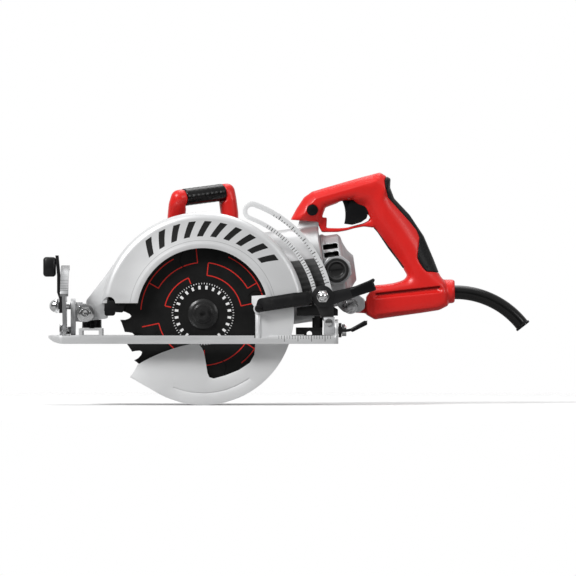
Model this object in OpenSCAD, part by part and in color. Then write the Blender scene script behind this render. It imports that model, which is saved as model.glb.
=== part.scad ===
// Worm drive circular saw, all lengths in millimetres.
// X runs to the rear, Y away from the blade side to the motor side, Z up.
// The origin lies on the sole of the foot, in the blade's plane, under the arbor.

/* [Blade] */
// Blade diameter
blade_d = 184; // [181:1:187]
// Thickness of the blade's plate
blade_t = 1.4; // [1.2:0.1:1.6]
// Width over the tipped teeth
kerf = 1.9; // [1.8:0.1:2.4]
// Number of teeth
teeth = 24; // [18:2:28]
// Deepest square cut
cut_depth = 59; // [58.5:0.5:60]

/* [Spindle] */
// Diameter of the blade's seat on the arbor
arbor_d = 16; // [14:0.5:16.5]
// Radius of the outer blade washer
washer_r = 17; // [15:0.5:19]
// Radius of the gear case nose that the lower guard turns on
nose_r = 26; // [25:0.5:27]

/* [Upper guard] */
// Outer radius of the upper guard
guard_r = 113; // [111.5:0.5:113.5]
// Radius of the open window in its face
window_r = 73; // [72.5:0.5:76]
// Half width of the upper guard
guard_half = 16; // [15.6:0.1:16.4]
// Wall of the upper guard
guard_wall = 3; // [2.6:0.1:3.2]
// Rounding of its shoulders
shoulder = 8; // [6:0.5:9]
// Height of its lower edges over the arbor
guard_edge = 12; // [11:0.5:13]

/* [Lower guard] */
// Outer radius of the lower guard
lower_r = 101; // [99:0.5:102]
// Half width of the lower guard
lower_half = 10; // [9.6:0.1:10.2]
// Wall of the lower guard
lower_wall = 2; // [1.6:0.1:2.4]
// Opening angle of the lower guard
lower_open = 118; // [100:2:120]

/* [Motor] */
// Slope of the motor axis, rear end up
motor_tilt = 8; // [7.5:0.25:8.5]
// Distance of the motor axis from the blade's plane
motor_y = 70; // [69.6:0.1:70.6]
// Distance between the arbor and the worm
worm_cd = 27.5; // [27:0.1:28]
// Outer radius of the motor housing
motor_r = 53; // [52:0.5:53.4]
// Wall of the motor housing
motor_wall = 3.5; // [3:0.25:4]
// Rear end of the motor housing along the motor axis
field_end = 140; // [138:1:142]
// Outer radius of the commutator housing
bell_r = 40; // [39:0.5:40.5]
// Teeth of the worm wheel, four for each start of the worm
wheel_teeth = 16; // [16:1:16]
// Starts of the worm
worm_starts = 4; // [4:1:4]

/* [Depth setting] */
// Front pivot, ahead of the arbor
pivot_x = -130.5; // [-132:0.5:-130]
// Front pivot, over the sole
pivot_z = 34; // [33.5:0.25:34.5]
// Radius of the depth slot's middle line
slot_r = 121.5; // [121:0.25:123]
// Width of the depth slot
slot_w = 10.6; // [10:0.1:11]
// Width of the depth bracket over both legs
bracket_w = 21.4; // [21:0.2:23]
// Thickness of the depth bracket
bracket_t = 3; // [2.5:0.1:3.2]
// Depth bolt diameter
depth_bolt_d = 8; // [7.6:0.1:8]

/* [Bevel setting] */
// Height of the bevel axis over the sole
bevel_z = 15; // [14.8:0.1:15.4]
// Height of the bevel lock over the bevel axis
lock_r = 27; // [26.5:0.25:28]
// Outer radius of the bevel quadrant
quadrant_r = 72; // [68:1:73]
// Largest bevel
bevel_max = 53; // [45:1:53]

/* [Foot] */
// Foot ahead of the arbor
foot_front = 171; // [170:1:174]
// Foot behind the arbor
foot_rear = 150; // [150:0.5:152]
// Left edge from the blade's plane
foot_left = 32; // [31.5:0.5:33]
// Right edge from the blade's plane
foot_right = 118; // [112:1:122]
// Height of the foot's rails
rail_h = 9.2; // [8.6:0.2:9.4]
// Thickness of the foot's floor
floor_t = 4; // [3.4:0.2:4]

/* [Handle] */
// Half width of the rear handle at its top bar
handle_half = 18; // [17:0.5:19]
// Depth of the soft grip in the handle
soft_t = 2.6; // [2:0.2:3]
// Diameter of the auxiliary grip
aux_d = 19.5; // [18.5:0.5:20.5]
// Outer diameter of the cord sleeve
sleeve_d = 15.5; // [15:0.25:16]
// Bend radius of the cord sleeve
sleeve_bend = 95; // [92:1:98]

/* [Shown piece] */
// Name of one piece, or all

/* [Hidden] */
$fn = 48;
arbor_z = blade_d / 2 - cut_depth;
sole = arbor_z;
pivot = [pivot_x, pivot_z];
// The slot's arc runs from the depth bolt, behind the guard's rim, to a point over the guard
depth_bolt_at = [guard_r + 19.754, arbor_z + 19.598];
slot_top = [54.475, arbor_z + guard_r + 0.72];
slot_chord = slot_top - depth_bolt_at;
slot_span = norm(slot_chord);
slot_c = (slot_top + depth_bolt_at) / 2 + sqrt(slot_r * slot_r - slot_span * slot_span / 4)
    * [-slot_chord[1], slot_chord[0]] / slot_span;
bolt_a = atan2(depth_bolt_at[1] - slot_c[1], depth_bolt_at[0] - slot_c[0]);
slot_end = atan2(slot_top[1] - slot_c[1], slot_top[0] - slot_c[0]);
// The motor housing's outside beside the depth bolt
bolt_v = (depth_bolt_at[1] - arbor_z) * cos(motor_tilt) - depth_bolt_at[0] * sin(motor_tilt);
bolt_wall = motor_y - sqrt(motor_r * motor_r - pow(worm_cd - bolt_v, 2));
// Offset of the bracket's middle line from its slot, so that it clears the guard as it swings
bracket_out = 0.6;
// Running clearance of a shaft in its bearings
shaft_run = 0.03;
bracket_pin_at = [139.5, 24];
bracket_y = 5;
wheel_pr = 18;
worm_pr = worm_cd - wheel_pr;
wheel_pitch = 2 * PI * wheel_pr / wheel_teeth;
worm_lead = worm_starts * wheel_pitch;
brush_u = 153.7;
face_y = -guard_half;
lever_y = face_y - 1.5;
red = [0.86, 0.12, 0.1];
silver = [0.78, 0.78, 0.79];
alloy = [0.68, 0.69, 0.7];
steel = [0.55, 0.56, 0.58];
chrome = [0.8, 0.81, 0.83];
black = [0.08, 0.08, 0.09];
copper = [0.72, 0.42, 0.25];

// Points on an arc about c from angle a0 to a1
function arc(c, r, a0, a1, n = 8) =
    [for (i = [0:n]) let (a = a0 + (a1 - a0) * i / n) c + r * [cos(a), sin(a)]];

// Points on a cubic curve
function curve(p, n = 8) =
    [for (i = [0:n]) let (t = i / n, s = 1 - t)
        s ^ 3 * p[0] + 3 * s ^ 2 * t * p[1] + 3 * s * t ^ 2 * p[2] + t ^ 3 * p[3]];

function unit(v) = v / norm(v);

// One corner p between a and b, rounded by r
function corner(a, p, b, r, n) =
    let (u = unit(a - p), v = unit(b - p), half = acos(max(-0.999, min(0.999, u * v))) / 2)
    let (c = p + unit(u + v) * r / sin(half), s = p + u * r / tan(half), e = p + v * r / tan(half))
    let (a0 = atan2(s[1] - c[1], s[0] - c[0]), d = atan2(e[1] - c[1], e[0] - c[0]) - a0)
    let (turn = d > 180 ? d - 360 : d < -180 ? d + 360 : d)
    r <= 0 ? [p] : arc(c, r, a0, a0 + turn, n);

// Outline through corners [x, z, r], each rounded by its own radius
function rounded(q, n = 5) =
    [for (i = [0:len(q) - 1])
        let (a = q[(i + len(q) - 1) % len(q)], p = q[i], b = q[(i + 1) % len(q)])
        each corner([a[0], a[1]], [p[0], p[1]], [b[0], b[1]], p[2], n)];

// Closed section of a bar: half thickness a, half width b, squareness e
function section(a, b, e, n) =
    [for (i = [0:n - 1]) let (t = 360 * (i + 0.5) / n, c = cos(t), s = sin(t))
        [a * sign(c) * abs(c) ^ (2 / e), b * sign(s) * abs(s) ^ (2 / e)]];

// Extrudes an outline drawn in X and Z between two planes across Y
module slab(y0, y1) {
    translate([0, y1, 0]) rotate([90, 0, 0]) linear_extrude(y1 - y0) children();
}

// Extrudes an outline drawn in Y and Z between two planes across X
module plate_x(x0, x1) {
    translate([x0, 0, 0]) rotate([90, 0, 90]) linear_extrude(x1 - x0) children();
}

module rod_y(p, y0, y1, r) {
    translate([p[0], y0, p[1]]) rotate([-90, 0, 0]) cylinder(h = y1 - y0, r = r);
}

module rod_x(p, x0, x1, r) {
    translate([x0, p[0], p[1]]) rotate([0, 90, 0]) cylinder(h = x1 - x0, r = r);
}

module rod_z(p, z0, z1, r) {
    translate([p[0], p[1], z0]) cylinder(h = z1 - z0, r = r);
}

// Box between two opposite corners
module box(a, b) {
    translate(a) cube(b - a);
}

// Turns a profile of radius and Y about the arbor axis
module turn_y(a0 = 0, a1 = 360) {
    rotate([90, 0, 0]) rotate_extrude(angle = a1 - a0, start = a0) mirror([0, 1]) children();
}

module at_arbor() {
    translate([0, 0, arbor_z]) children();
}

// Frame of the body: first axis along the motor, third across it, at the arbor
module tilted() {
    at_arbor() rotate([0, -motor_tilt, 0]) children();
}

// Frame with its Z along the motor axis, rearwards
module on_axis() {
    tilted() translate([0, motor_y, worm_cd]) rotate([0, 90, 0]) children();
}

// Body point of a place along and across the motor axis, measured from the arbor
function body_point(u, v) = [u * cos(motor_tilt) - v * sin(motor_tilt),
    u * sin(motor_tilt) + v * cos(motor_tilt)];

// Round wire along a path in space
module wire(path, r, n = 6) {
    m = len(path);
    rings = [for (i = [0:m - 1])
        let (a = path[max(i - 1, 0)], b = path[min(i + 1, m - 1)], t = unit(b - a))
        let (k = abs(t[1]) < 0.9 ? [0, 1, 0] : [1, 0, 0], u = unit(cross(t, k)), w = cross(t, u))
        for (j = [0:n - 1]) path[i] + r * (cos(360 * j / n) * u + sin(360 * j / n) * w)];
    sides = [for (i = [0:m - 2], j = [0:n - 1])
        let (p = i * n + j, q = i * n + (j + 1) % n) each [[p, q + n, q], [p, p + n, q + n]]];
    caps = [[for (j = [0:n - 1]) j], [for (j = [0:n - 1]) m * n - 1 - j]];
    polyhedron(rings, concat(sides, caps));
}

// Ball bearing seen from outside: two rings with a recessed shield
module bearing(ri, ro, w) {
    rotate_extrude() difference() {
        translate([ri, 0]) square([ro - ri, w]);
        translate([ri + 0.28 * (ro - ri), -1]) square([0.44 * (ro - ri), 1.8]);
        translate([ri + 0.28 * (ro - ri), w - 0.8]) square([0.44 * (ro - ri), 1.8]);
    }
}

// Polar point about the arbor
function polar(r, a) = r * [cos(a), sin(a)];

function tooth(a, p, r) = [
    polar(r, a), polar(r - 1, a + 0.17 * p), polar(r - 2.2, a + 0.43 * p), polar(r - 2.6, a + 0.6 * p),
    polar(r - 6, a + 0.645 * p), polar(r - 10.5, a + 0.74 * p), polar(r - 12, a + 0.86 * p),
    polar(r - 9.5, a + 0.965 * p), polar(r - 5, a + 1.02 * p)
];

module saw_blade() {
    p = 360 / teeth;
    r = blade_d / 2;
    at_arbor() difference() {
        union() {
            slab(-blade_t / 2, blade_t / 2)
                polygon([for (i = [0:teeth - 1]) each tooth(i * p + 4, p, r - 0.4)]);
            slab(-kerf / 2, kerf / 2) for (i = [0:teeth - 1]) let (a = i * p + 4)
                polygon([polar(r, a), polar(r - 0.7, a + 1.5), polar(r - 4.6, a + 1.8), polar(r - 5,
                    a + 0.3)]);
        }
        rod_y([0, 0], -3, 3, arbor_d / 2 + 0.05);
    }
}

module inner_washer() {
    at_arbor() difference() {
        rod_y([0, 0], blade_t / 2, 4.7, washer_r + 3);
        rod_y([0, 0], 0, 6, arbor_d / 2 + 0.05);
    }
}

module outer_washer() {
    y = -blade_t / 2;
    at_arbor() turn_y() polygon([
        [5.2, y], [washer_r, y], [washer_r, y - 1.2], [washer_r - 3, y - 2.6], [11, y - 3.2], [10,
            y - 4.4], [5.2, y - 4.4]
    ]);
}

module blade_bolt() {
    y = -blade_t / 2 - 4.4;
    at_arbor() difference() {
        union() {
            rod_y([0, 0], y - 1.6, y, 8.4);
            translate([0, y - 7.4, 0]) rotate([-90, 15, 0]) cylinder(h = 6, r = 7.2, $fn = 6);
            rod_y([0, 0], y, 18, 5);
        }
        translate([0, y - 8, 0]) rotate([-90, 15, 0]) cylinder(h = 4, r = 3.6, $fn = 6);
    }
}

module arbor_shaft() {
    at_arbor() difference() {
        turn_y() polygon([
            [0, -blade_t / 2 + 0.2], [arbor_d / 2, -blade_t / 2 + 0.2], [arbor_d / 2, 4.7], [8.5, 4.7],
                [8.5, 19],
            [10, 19], [10, 38], [7.5, 38], [7.5, 50], [10, 50], [10, motor_y - 8], [9, motor_y - 8],
            [9, motor_y + 8], [6, motor_y + 8], [6, motor_y + 24], [0, motor_y + 24]
        ]);
        rod_y([0, 0], -3, 20, 5.05);
    }
}

function gear_outline(n, root, tip, half_root, half_tip) =
    [for (i = [0:n - 1]) let (a = 360 * i / n)
        each [polar(root, a - half_root), polar(tip, a - half_tip), polar(tip, a + half_tip),
            polar(root, a + half_root)]];

module worm_wheel() {
    m = wheel_pitch / PI;
    tip = wheel_pr + 0.75 * m;
    root = wheel_pr - 0.95 * m;
    lead_a = atan(worm_lead / (2 * PI * worm_pr));
    twist = -16 * tan(lead_a) / wheel_pr * 180 / PI;
    at_arbor() translate([0, motor_y, 0]) rotate([90, -motor_tilt, 0]) difference() {
        linear_extrude(height = 16, center = true, twist = twist, slices = 8, $fn = 16)
            rotate(90 + twist / 2) polygon(gear_outline(wheel_teeth, root, tip, 6.4, 2.2));
        cylinder(h = 20, r = 9.05, center = true);
    }
}

module arbor_bearings() {
    at_arbor() {
        translate([0, 7, 0]) rotate([-90, 0, 0]) bearing(8.5 + shaft_run, 20, 12);
        translate([0, motor_y + 16, 0]) rotate([-90, 0, 0]) bearing(6 + shaft_run, 14, 8);
    }
}

module armature_shaft() {
    on_axis() rotate_extrude() polygon([
        [0, -41], [5, -41], [5, -32], [5, 44], [6, 44], [6, 60], [7, 60], [7, 130], [6, 130], [6, 163],
            [5, 163],
        [5, 170.6], [0, 170.6]
    ]);
}

module worm() {
    m = wheel_pitch / PI;
    tip = worm_pr + 0.75 * m;
    root = worm_pr - 0.95 * m;
    on_axis() translate([0, 0, -20]) difference() {
        linear_extrude(height = 40, twist = -360 * 40 / worm_lead, slices = 32, $fn = 16)
            rotate(45 + 360 * -20 / worm_lead) polygon(gear_outline(worm_starts, root, tip, 22, 8));
        translate([0, 0, -1]) cylinder(h = 42, r = 5.05);
    }
}

module armature_core() {
    on_axis() difference() {
        translate([0, 0, 80]) cylinder(h = 48, r = 27);
        for (i = [0:11]) rotate(30 * i) translate([20, -2, 79]) cube([10, 4, 50]);
        translate([0, 0, 79]) cylinder(h = 50, r = 7.05);
    }
}

module commutator() {
    on_axis() difference() {
        translate([0, 0, brush_u - 10]) cylinder(h = 17, r = 15);
        for (i = [0:23]) rotate(15 * i) translate([13.5, -0.4, brush_u - 8]) cube([3, 0.8, 18]);
        translate([0, 0, brush_u - 11]) cylinder(h = 21, r = 6.05);
    }
}

module cooling_fan() {
    on_axis() difference() {
        union() {
            translate([0, 0, 66]) cylinder(h = 2, r = 44);
            translate([0, 0, 66]) cylinder(h = 10, r = 12);
            for (i = [0:11]) rotate(30 * i) translate([16, -1, 67.9]) cube([27, 2, 8]);
        }
        translate([0, 0, 65]) cylinder(h = 12, r = 7.05);
    }
}

module armature_bearings() {
    on_axis() {
        translate([0, 0, -41]) bearing(5 + shaft_run, 13, 8);
        translate([0, 0, 48]) bearing(6 + shaft_run, 16, 10);
        translate([0, 0, 164]) bearing(5 + shaft_run, 11, 7);
    }
}

module field_stator() {
    on_axis() difference() {
        union() {
            translate([0, 0, 84]) cylinder(h = 40, r = motor_r - motor_wall - 0.1);
            translate([0, 0, 79]) cylinder(h = 50, r = 41);
        }
        translate([0, 0, 78]) cylinder(h = 52, r = 28);
        for (s = [0, 180]) rotate(s) translate([24, -12, 78]) cube([10, 24, 52]);
    }
}

// Mirrors a piece to both sides of the motor axis
module both_sides() {
    children();
    translate([0, 2 * motor_y, 0]) mirror([0, 1, 0]) children();
}

module carbon_brushes() {
    tilted() both_sides() {
        box([brush_u - 4, motor_y - 36, worm_cd - 6], [brush_u + 4, motor_y - 15.3, worm_cd + 6]);
        rod_y([brush_u, worm_cd], motor_y - 47, motor_y - 34, 9.8);
    }
}

module brush_caps() {
    y = motor_y - 59;
    tilted() both_sides() difference() {
        union() {
            translate([brush_u, y, worm_cd]) rotate([-90, 0, 0]) rotate_extrude()
                polygon([[0, 0.6], [8.5, 0.6], [9.5, 0], [12.7, 0], [13.5, 0.8], [13.5, 3], [9.8, 3],
                    [9.8, 12], [0, 12]]);
        }
        box([brush_u - 7.5, y - 1, worm_cd - 1.2], [brush_u + 7.5, y + 2.2, worm_cd + 1.2]);
    }
}

module motor_housing() {
    lug = [[103, 90, 0], [107, 104, 2], [113, 119, 6], [120, 124, 6], [127, 122, 5], [128.4, 112, 3],
        [128.4, 88, 0]];
    difference() {
        union() {
            on_axis() rotate_extrude() polygon([[30, 64], [motor_r, 64], [motor_r, field_end - 2],
                [motor_r - 2, field_end], [30, field_end]]);
            rod_y(depth_bolt_at, 12, motor_y - 30, 11);
            slab(guard_half + 1, motor_y - 34) polygon([[118, depth_bolt_at[1] - 7], depth_bolt_at - [0, 9],
                depth_bolt_at + [0, 9], [118, depth_bolt_at[1] + 8]]);
            at_arbor() slab(motor_y - 7, motor_y + 7) polygon(rounded(lug));
        }
        on_axis() translate([0, 0, 60]) cylinder(h = field_end - 66, r = motor_r - motor_wall);
        on_axis() translate([0, 0, 60]) cylinder(h = 90, r = bell_r - 5);
        rod_y(depth_bolt_at, 11, bolt_wall + motor_wall + 2.3, depth_bolt_d / 2 + 0.05);
        on_axis() translate([0, 0, field_end]) cylinder(h = 30, r = bell_r + 2.05);
        tilted() both_sides() translate([brush_u, motor_y - 57, worm_cd]) rotate([-90, 22.5, 0])
            cylinder(h = 40, r = 17.6, $fn = 8);
        at_arbor() rod_y([121.5, 115.7], 0, 140, 4.1);
    }
}

module commutator_housing() {
    r = bell_r;
    e = field_end;
    lug = [[150, 24, 0], [150, 8, 4], [157, 1.5, 6], [174, 1.5, 5], [180, 6, 3], [180, 16, 3], [172,
        22, 4], [164, 30, 0]];
    difference() {
        union() {
            on_axis() rotate_extrude() polygon([[0, e], [r + 2, e], [r + 2, e + 4], [r, e + 6], [r,
                e + 20],
                [r - 3, e + 23], [30, e + 24.6], [21, e + 28.5], [16.5, e + 32], [14, e + 34.5], [0,
                    e + 34.5]]);
            tilted() both_sides() translate([brush_u, motor_y - 56, worm_cd]) rotate([-90, 22.5, 0])
                cylinder(h = 26, r = 17.5, $fn = 8);
            at_arbor() both_sides() slab(motor_y - 20, motor_y - 6.05) polygon(rounded(lug));
        }
        on_axis() rotate_extrude() polygon([[0, e - 1], [r - 3.5, e - 1], [r - 3.5, e + 14], [30, e + 19],
            [11.05, e + 23], [11.05, e + 31], [0, e + 31]]);
        tilted() both_sides() translate([brush_u, motor_y - 57, worm_cd]) rotate([-90, 0,
            0]) cylinder(h = 40, r = 9.85);
        tilted() both_sides() for (v = [18, 27]) translate([146.5, 0, worm_cd + v])
            rotate([0, 0, 0]) box([-4, motor_y - 45, -2.6], [12, motor_y - 12, 2.6]);
        at_arbor() {
            rod_y(lower_bolt_at, 0, 140, lower_bolt_d / 2 + 0.1);
            slab(motor_y - 6.05, motor_y + 6.05)
                polygon([[152, -10], [200, -10], [200, 14.8], [152, 14.8]]);
        }
    }
}

module gear_case() {
    plate = [[-66, -4, 10], [-66, 26, 10], [-40, 62, 14], [0, 78, 20], [30, 74, 14], [50, 54, 8], [52,
        16, 8],
        [34, -23, 10], [-30, -23, 10]];
    difference() {
        union() {
            at_arbor() {
                rod_y([0, 0], 5.5, guard_half + 1, nose_r);
                rod_y([0, 0], guard_half + 2, motor_y + 24, 25);
                slab(guard_half, guard_half + 5) polygon(rounded(plate));
                rotate([0, -165, 0]) rod_x([42.2, 0], 20, 33, 8);
                rod_z([-28, 54], 30, 64, 12);
                rod_z([28, 68], 30, 64, 12);
            }
            tilted() {
                slab(motor_y - 16, motor_y + 16) polygon([[-24, 0], [24, 0], [20, 30], [-20, 30]]);
                slab(guard_half + 1, motor_y - 8) polygon(rounded([[-24, 16, 6], [52, 16, 6], [52, 44, 6],
                    [-24, 44, 6]]));
                for (y = [motor_y - 30, motor_y + 26]) slab(y, y + 4)
                    polygon([[10, 30], [59, -12], [59, 66], [10, 44]]);
            }
            on_axis() {
                translate([0, 0, -42]) cylinder(h = 102, r = 21);
                translate([0, 0, 41]) cylinder(h = 18, r1 = 19.5, r2 = 46);
                translate([0, 0, 58]) cylinder(h = 6, r = motor_r);
            }
        }
        at_arbor() {
            rod_y([0, 0], 7, 19, 20.05);
            rod_y([0, 0], 4, 8, 15);
            rod_y([0, 0], 18, motor_y - 9, 14.5);
            rod_y([0, 0], motor_y - 10, motor_y + 10, 21.4);
            rod_y([0, 0], motor_y + 9, motor_y + 17, 12);
            rod_y([0, 0], motor_y + 16, motor_y + 30, 14.05);
            turn_y() translate([nose_r - 1.5, 6.2]) square([6, 1.6]);
            rotate([0, -165, 0]) rod_x([42.2, 0], 10, 40, 4);
            for (p = guard_screw_at) rod_y(p, guard_half - 1, guard_half + 12, 2.55);
            for (p = [[-28, 54], [28, 68]]) rod_z(p, 44, 70, 3.05);
        }
        on_axis() {
            translate([0, 0, -43]) cylinder(h = 92, r = 13.05);
            translate([0, 0, 48]) cylinder(h = 20, r = 16.05);
            for (i = [0:2]) rotate(120 * i) translate([17, 0, -43]) cylinder(h = 12, r = 1.55);
        }
        at_arbor() for (i = [0:3]) rotate([0, 90 * i + 45, 0]) rod_y([19.5, 0], motor_y + 14,
            motor_y + 30, 1.55);
        tilted() translate([7, motor_y, worm_cd + 10]) cylinder(h = 30, r = 4.05);
    }
}

guard_screw_at = [[-54, 10], [-44, 46], [6, 62], [42, 46]];

module front_cover() {
    on_axis() difference() {
        union() {
            translate([0, 0, -46]) cylinder(h = 4, r = 21);
            translate([0, 0, -49]) cylinder(h = 4, r1 = 9, r2 = 13);
        }
        for (i = [0:2]) rotate(120 * i) translate([17, 0, -50]) cylinder(h = 12, r = 1.8);
    }
}

module side_cover() {
    y = motor_y + 24;
    at_arbor() difference() {
        union() {
            rod_y([0, 0], y, y + 4, 25);
            rod_y([0, 0], y + 4, y + 6.5, 14);
        }
        for (i = [0:3]) rotate([0, 90 * i + 45, 0]) rod_y([19.5, 0], y - 1, y + 8, 1.8);
    }
}

module cover_screws() {
    y = motor_y + 24;
    at_arbor() for (i = [0:3]) rotate([0, 90 * i + 45, 0]) difference() {
        union() {
            rod_y([19.5, 0], y + 4, y + 6.2, 3.4);
            rod_y([19.5, 0], y - 8, y + 4, 1.5);
        }
        box([17, y + 5.2, -0.5], [22, y + 7, 0.5]);
    }
    on_axis() for (i = [0:2]) rotate(120 * i) translate([17, 0, 0]) difference() {
        union() {
            translate([0, 0, -48.2]) cylinder(h = 2.2, r = 3.4);
            translate([0, 0, -46]) cylinder(h = 13, r = 1.5);
        }
        translate([-3, -0.5, -49]) cube([6, 1, 1.8]);
    }
}

module oil_plug() {
    tilted() translate([7, motor_y, worm_cd]) difference() {
        union() {
            translate([0, 0, 21]) cylinder(h = 5, r = 7.5, $fn = 6);
            translate([0, 0, 14]) cylinder(h = 8, r = 4);
        }
        translate([0, 0, 23]) cylinder(h = 4, r = 3, $fn = 6);
    }
}

module spindle_lock() {
    at_arbor() rotate([0, -165, 0]) union() {
        rod_x([42.2, 0], 13.2, 40, 3.9);
        rod_x([42.2, 0], 38, 45, 7.5);
    }
}

module upper_guard() {
    w = guard_half;
    t = guard_wall;
    s = shoulder;
    shell = concat(
        [[window_r, -w]], arc([guard_r - s, -w + s], s, -90, 0, 6), arc([guard_r - s, w - s], s, 0, 90,
            6),
        [[90, w], [90, w - t]], arc([guard_r - s, w - s], s - t, 90, 0, 6),
        arc([guard_r - s, -w + s], s - t, 0, -90, 6), [[window_r, -w + t]]
    );
    q = pivot - [0, arbor_z];
    arm = [[q[0] + 1, q[1] + 14, 3], [-108, 43, 6], [-99, 56, 2], [-84, 50, 2], [-84, 18, 2], [-97, 12,
        4],
        [-105, 2, 3], [-106, -5, 2], [q[0], q[1] - 9, 0]];
    difference() {
        at_arbor() union() {
            difference() {
                union() {
                    turn_y(-10, 190) polygon(shell);
                    turn_y(-10, 190) translate([window_r, -w - 1.2]) square([5.5, 2.2]);
                }
                box([-140, -w - 3, -60], [140, w + 3, guard_edge]);
                slab(-w - 4, -w + t + 0.5) translate([-104, guard_edge]) circle(7);
            }
            slab(w - t, w) difference() {
                intersection() {
                    circle(guard_r - 4, $fn = 180);
                    union() {
                        translate([-120, guard_edge]) square([240, 120]);
                        translate([-70, -8]) square([140, 30]);
                    }
                }
                circle(nose_r + 0.3);
            }
            slab(4, 14) difference() {
                union() {
                    polygon(rounded(arm));
                    translate(q) circle(9);
                }
                circle(guard_r - t - 11, $fn = 180);
            }
        }
        rod_y(pivot, 0, 20, 5.05);
        at_arbor() for (p = guard_screw_at) {
            rod_y(p, w - 6, w + 1, 2.8);
            rod_y(p, w - 6, w - t + 1.9, 5.2);
        }
        at_arbor() for (a = bumper_at) rod_y(polar(50, a), w - 5, w + 1, 1.5);
    }
}

bumper_at = [-2.4, 5 + lower_open + 7.4];

module guard_screws() {
    w = guard_half;
    at_arbor() for (p = guard_screw_at) difference() {
        union() {
            rod_y(p, w - guard_wall + 0.1, w - guard_wall + 1.9, 5);
            rod_y(p, w - guard_wall + 1.9, w + 10, 2.5);
        }
        translate([p[0], w - guard_wall, p[1]]) rotate([-90, 0, 0]) cylinder(h = 1.2, r = 2.2, $fn = 6);
    }
}

module lower_guard() {
    h = lower_half;
    t = lower_wall;
    r = lower_r;
    tip = polar(r, 240) + 35 * [-cos(30), sin(30)];
    inner_tip = tip + t / 2 * [sin(30), cos(30)] + 0.5 * [cos(30), -sin(30)];
    rim = concat(arc([0, 0], r - t / 2, 240, 377.8, 46),
        [polar(72, 17), [54, 20], [54, 12], [58, 6], [58, -33]]);
    bay = concat(
        [[57, -45], [52, -54], [40, -62], [25, -68], [12, -71.5], [7, -70], [5, -65], [3, -52], [1, -42]],
        curve([[1, -42], [-2, -34], [-6, -32], [-12, -33]], 5), curve([[-12, -33], [-35, -37], [-60,
            -48], [-72, -56]], 6)
    );
    at_arbor() difference() {
        union() {
            slab(-h, h) polygon(concat(arc([0, 0], r, 240, 378, 69), arc([0, 0], r - t, 378, 240, 69),
                [tip + t * [sin(30), cos(30)], tip]));
            slab(-h, -h + t) polygon(concat(rim, bay, [inner_tip]));
            slab(h - t, h) difference() {
                union() {
                    polygon(concat(arc([0, 0], r - t / 2, 240, 377.8, 46), [polar(26, 18), polar(26, 200),
                        tip + [9, 14], inner_tip]));
                    circle(nose_r + 8);
                }
                circle(nose_r + 0.15);
            }
            rod_z([61, -h], -27, -1, 3);
            rod_y([62, 6], lever_y, -h + 0.5, 6);
            rod_y([67.5, 12.5], lever_y, -h + 0.5, 3);
            rod_y(polar(50, 5), h - 0.5, h + 2.5, 3);
            rod_y(polar(44, -60), h - 0.5, h + 2.4, 1.5);
        }
        turn_y(248, 306) translate([87, -h - 1]) square([1.6, 1.6]);
        rod_y([62, 6], lever_y - 1, -h + 5, 2.05);
    }
}

module lift_lever() {
    e = guard_r + 6;
    bar = [[57, 1, 5], [e - 17, 8, 12], [e, 10.5, 3], [e - 0.5, 25, 4], [e - 19, 23.5, 20], [61, 17, 5]];
    at_arbor() difference() {
        union() {
            slab(lever_y - 3.5, lever_y) polygon(rounded(bar));
            slab(lever_y - 4.1, lever_y - 3) polygon(rounded([[76, 7, 2], [e - 17, 11, 8], [e - 3, 13, 2],
                [e - 3.5, 22, 2], [e - 19, 20.5, 14], [76, 16.5, 2]]));
        }
        rod_y([62, 6], lever_y - 6, lever_y + 1, 2.3);
    }
}

module lever_screws() {
    at_arbor() difference() {
        union() {
            translate([62, lever_y - 3.5, 6]) rotate([-90, 0, 0]) mirror([0, 0, 1])
                cylinder(h = 2.2, r1 = 4.5, r2 = 3.2);
            rod_y([62, 6], lever_y - 3.5, -lower_half + 3, 2);
        }
        box([58.8, lever_y - 7, 5.5], [65.2, lever_y - 4.6, 6.5]);
    }
}

module guard_spring() {
    inner = nose_r + 1.05;
    path = [for (i = [0:60]) let (a = 17 * (i - 60) - 60, r = inner + (41.8 - inner) * i / 60)
        [r * cos(a), lower_half + 1.5, r * sin(a)]];
    at_arbor() wire(path, 0.7, 5);
}

module guard_ring() {
    at_arbor() difference() {
        rod_y([0, 0], 6.3, 7.7, nose_r + 3);
        rod_y([0, 0], 6, 8, nose_r - 1.45);
        box([-2.5, 5, nose_r - 4], [2.5, 9, nose_r + 5]);
    }
}

module guard_bumpers() {
    w = guard_half - guard_wall;
    at_arbor() for (a = bumper_at) union() {
        rod_y(polar(50, a), lower_half + 0.4, w, 3);
        rod_y(polar(50, a), w, guard_half, 1.45);
    }
}

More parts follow.
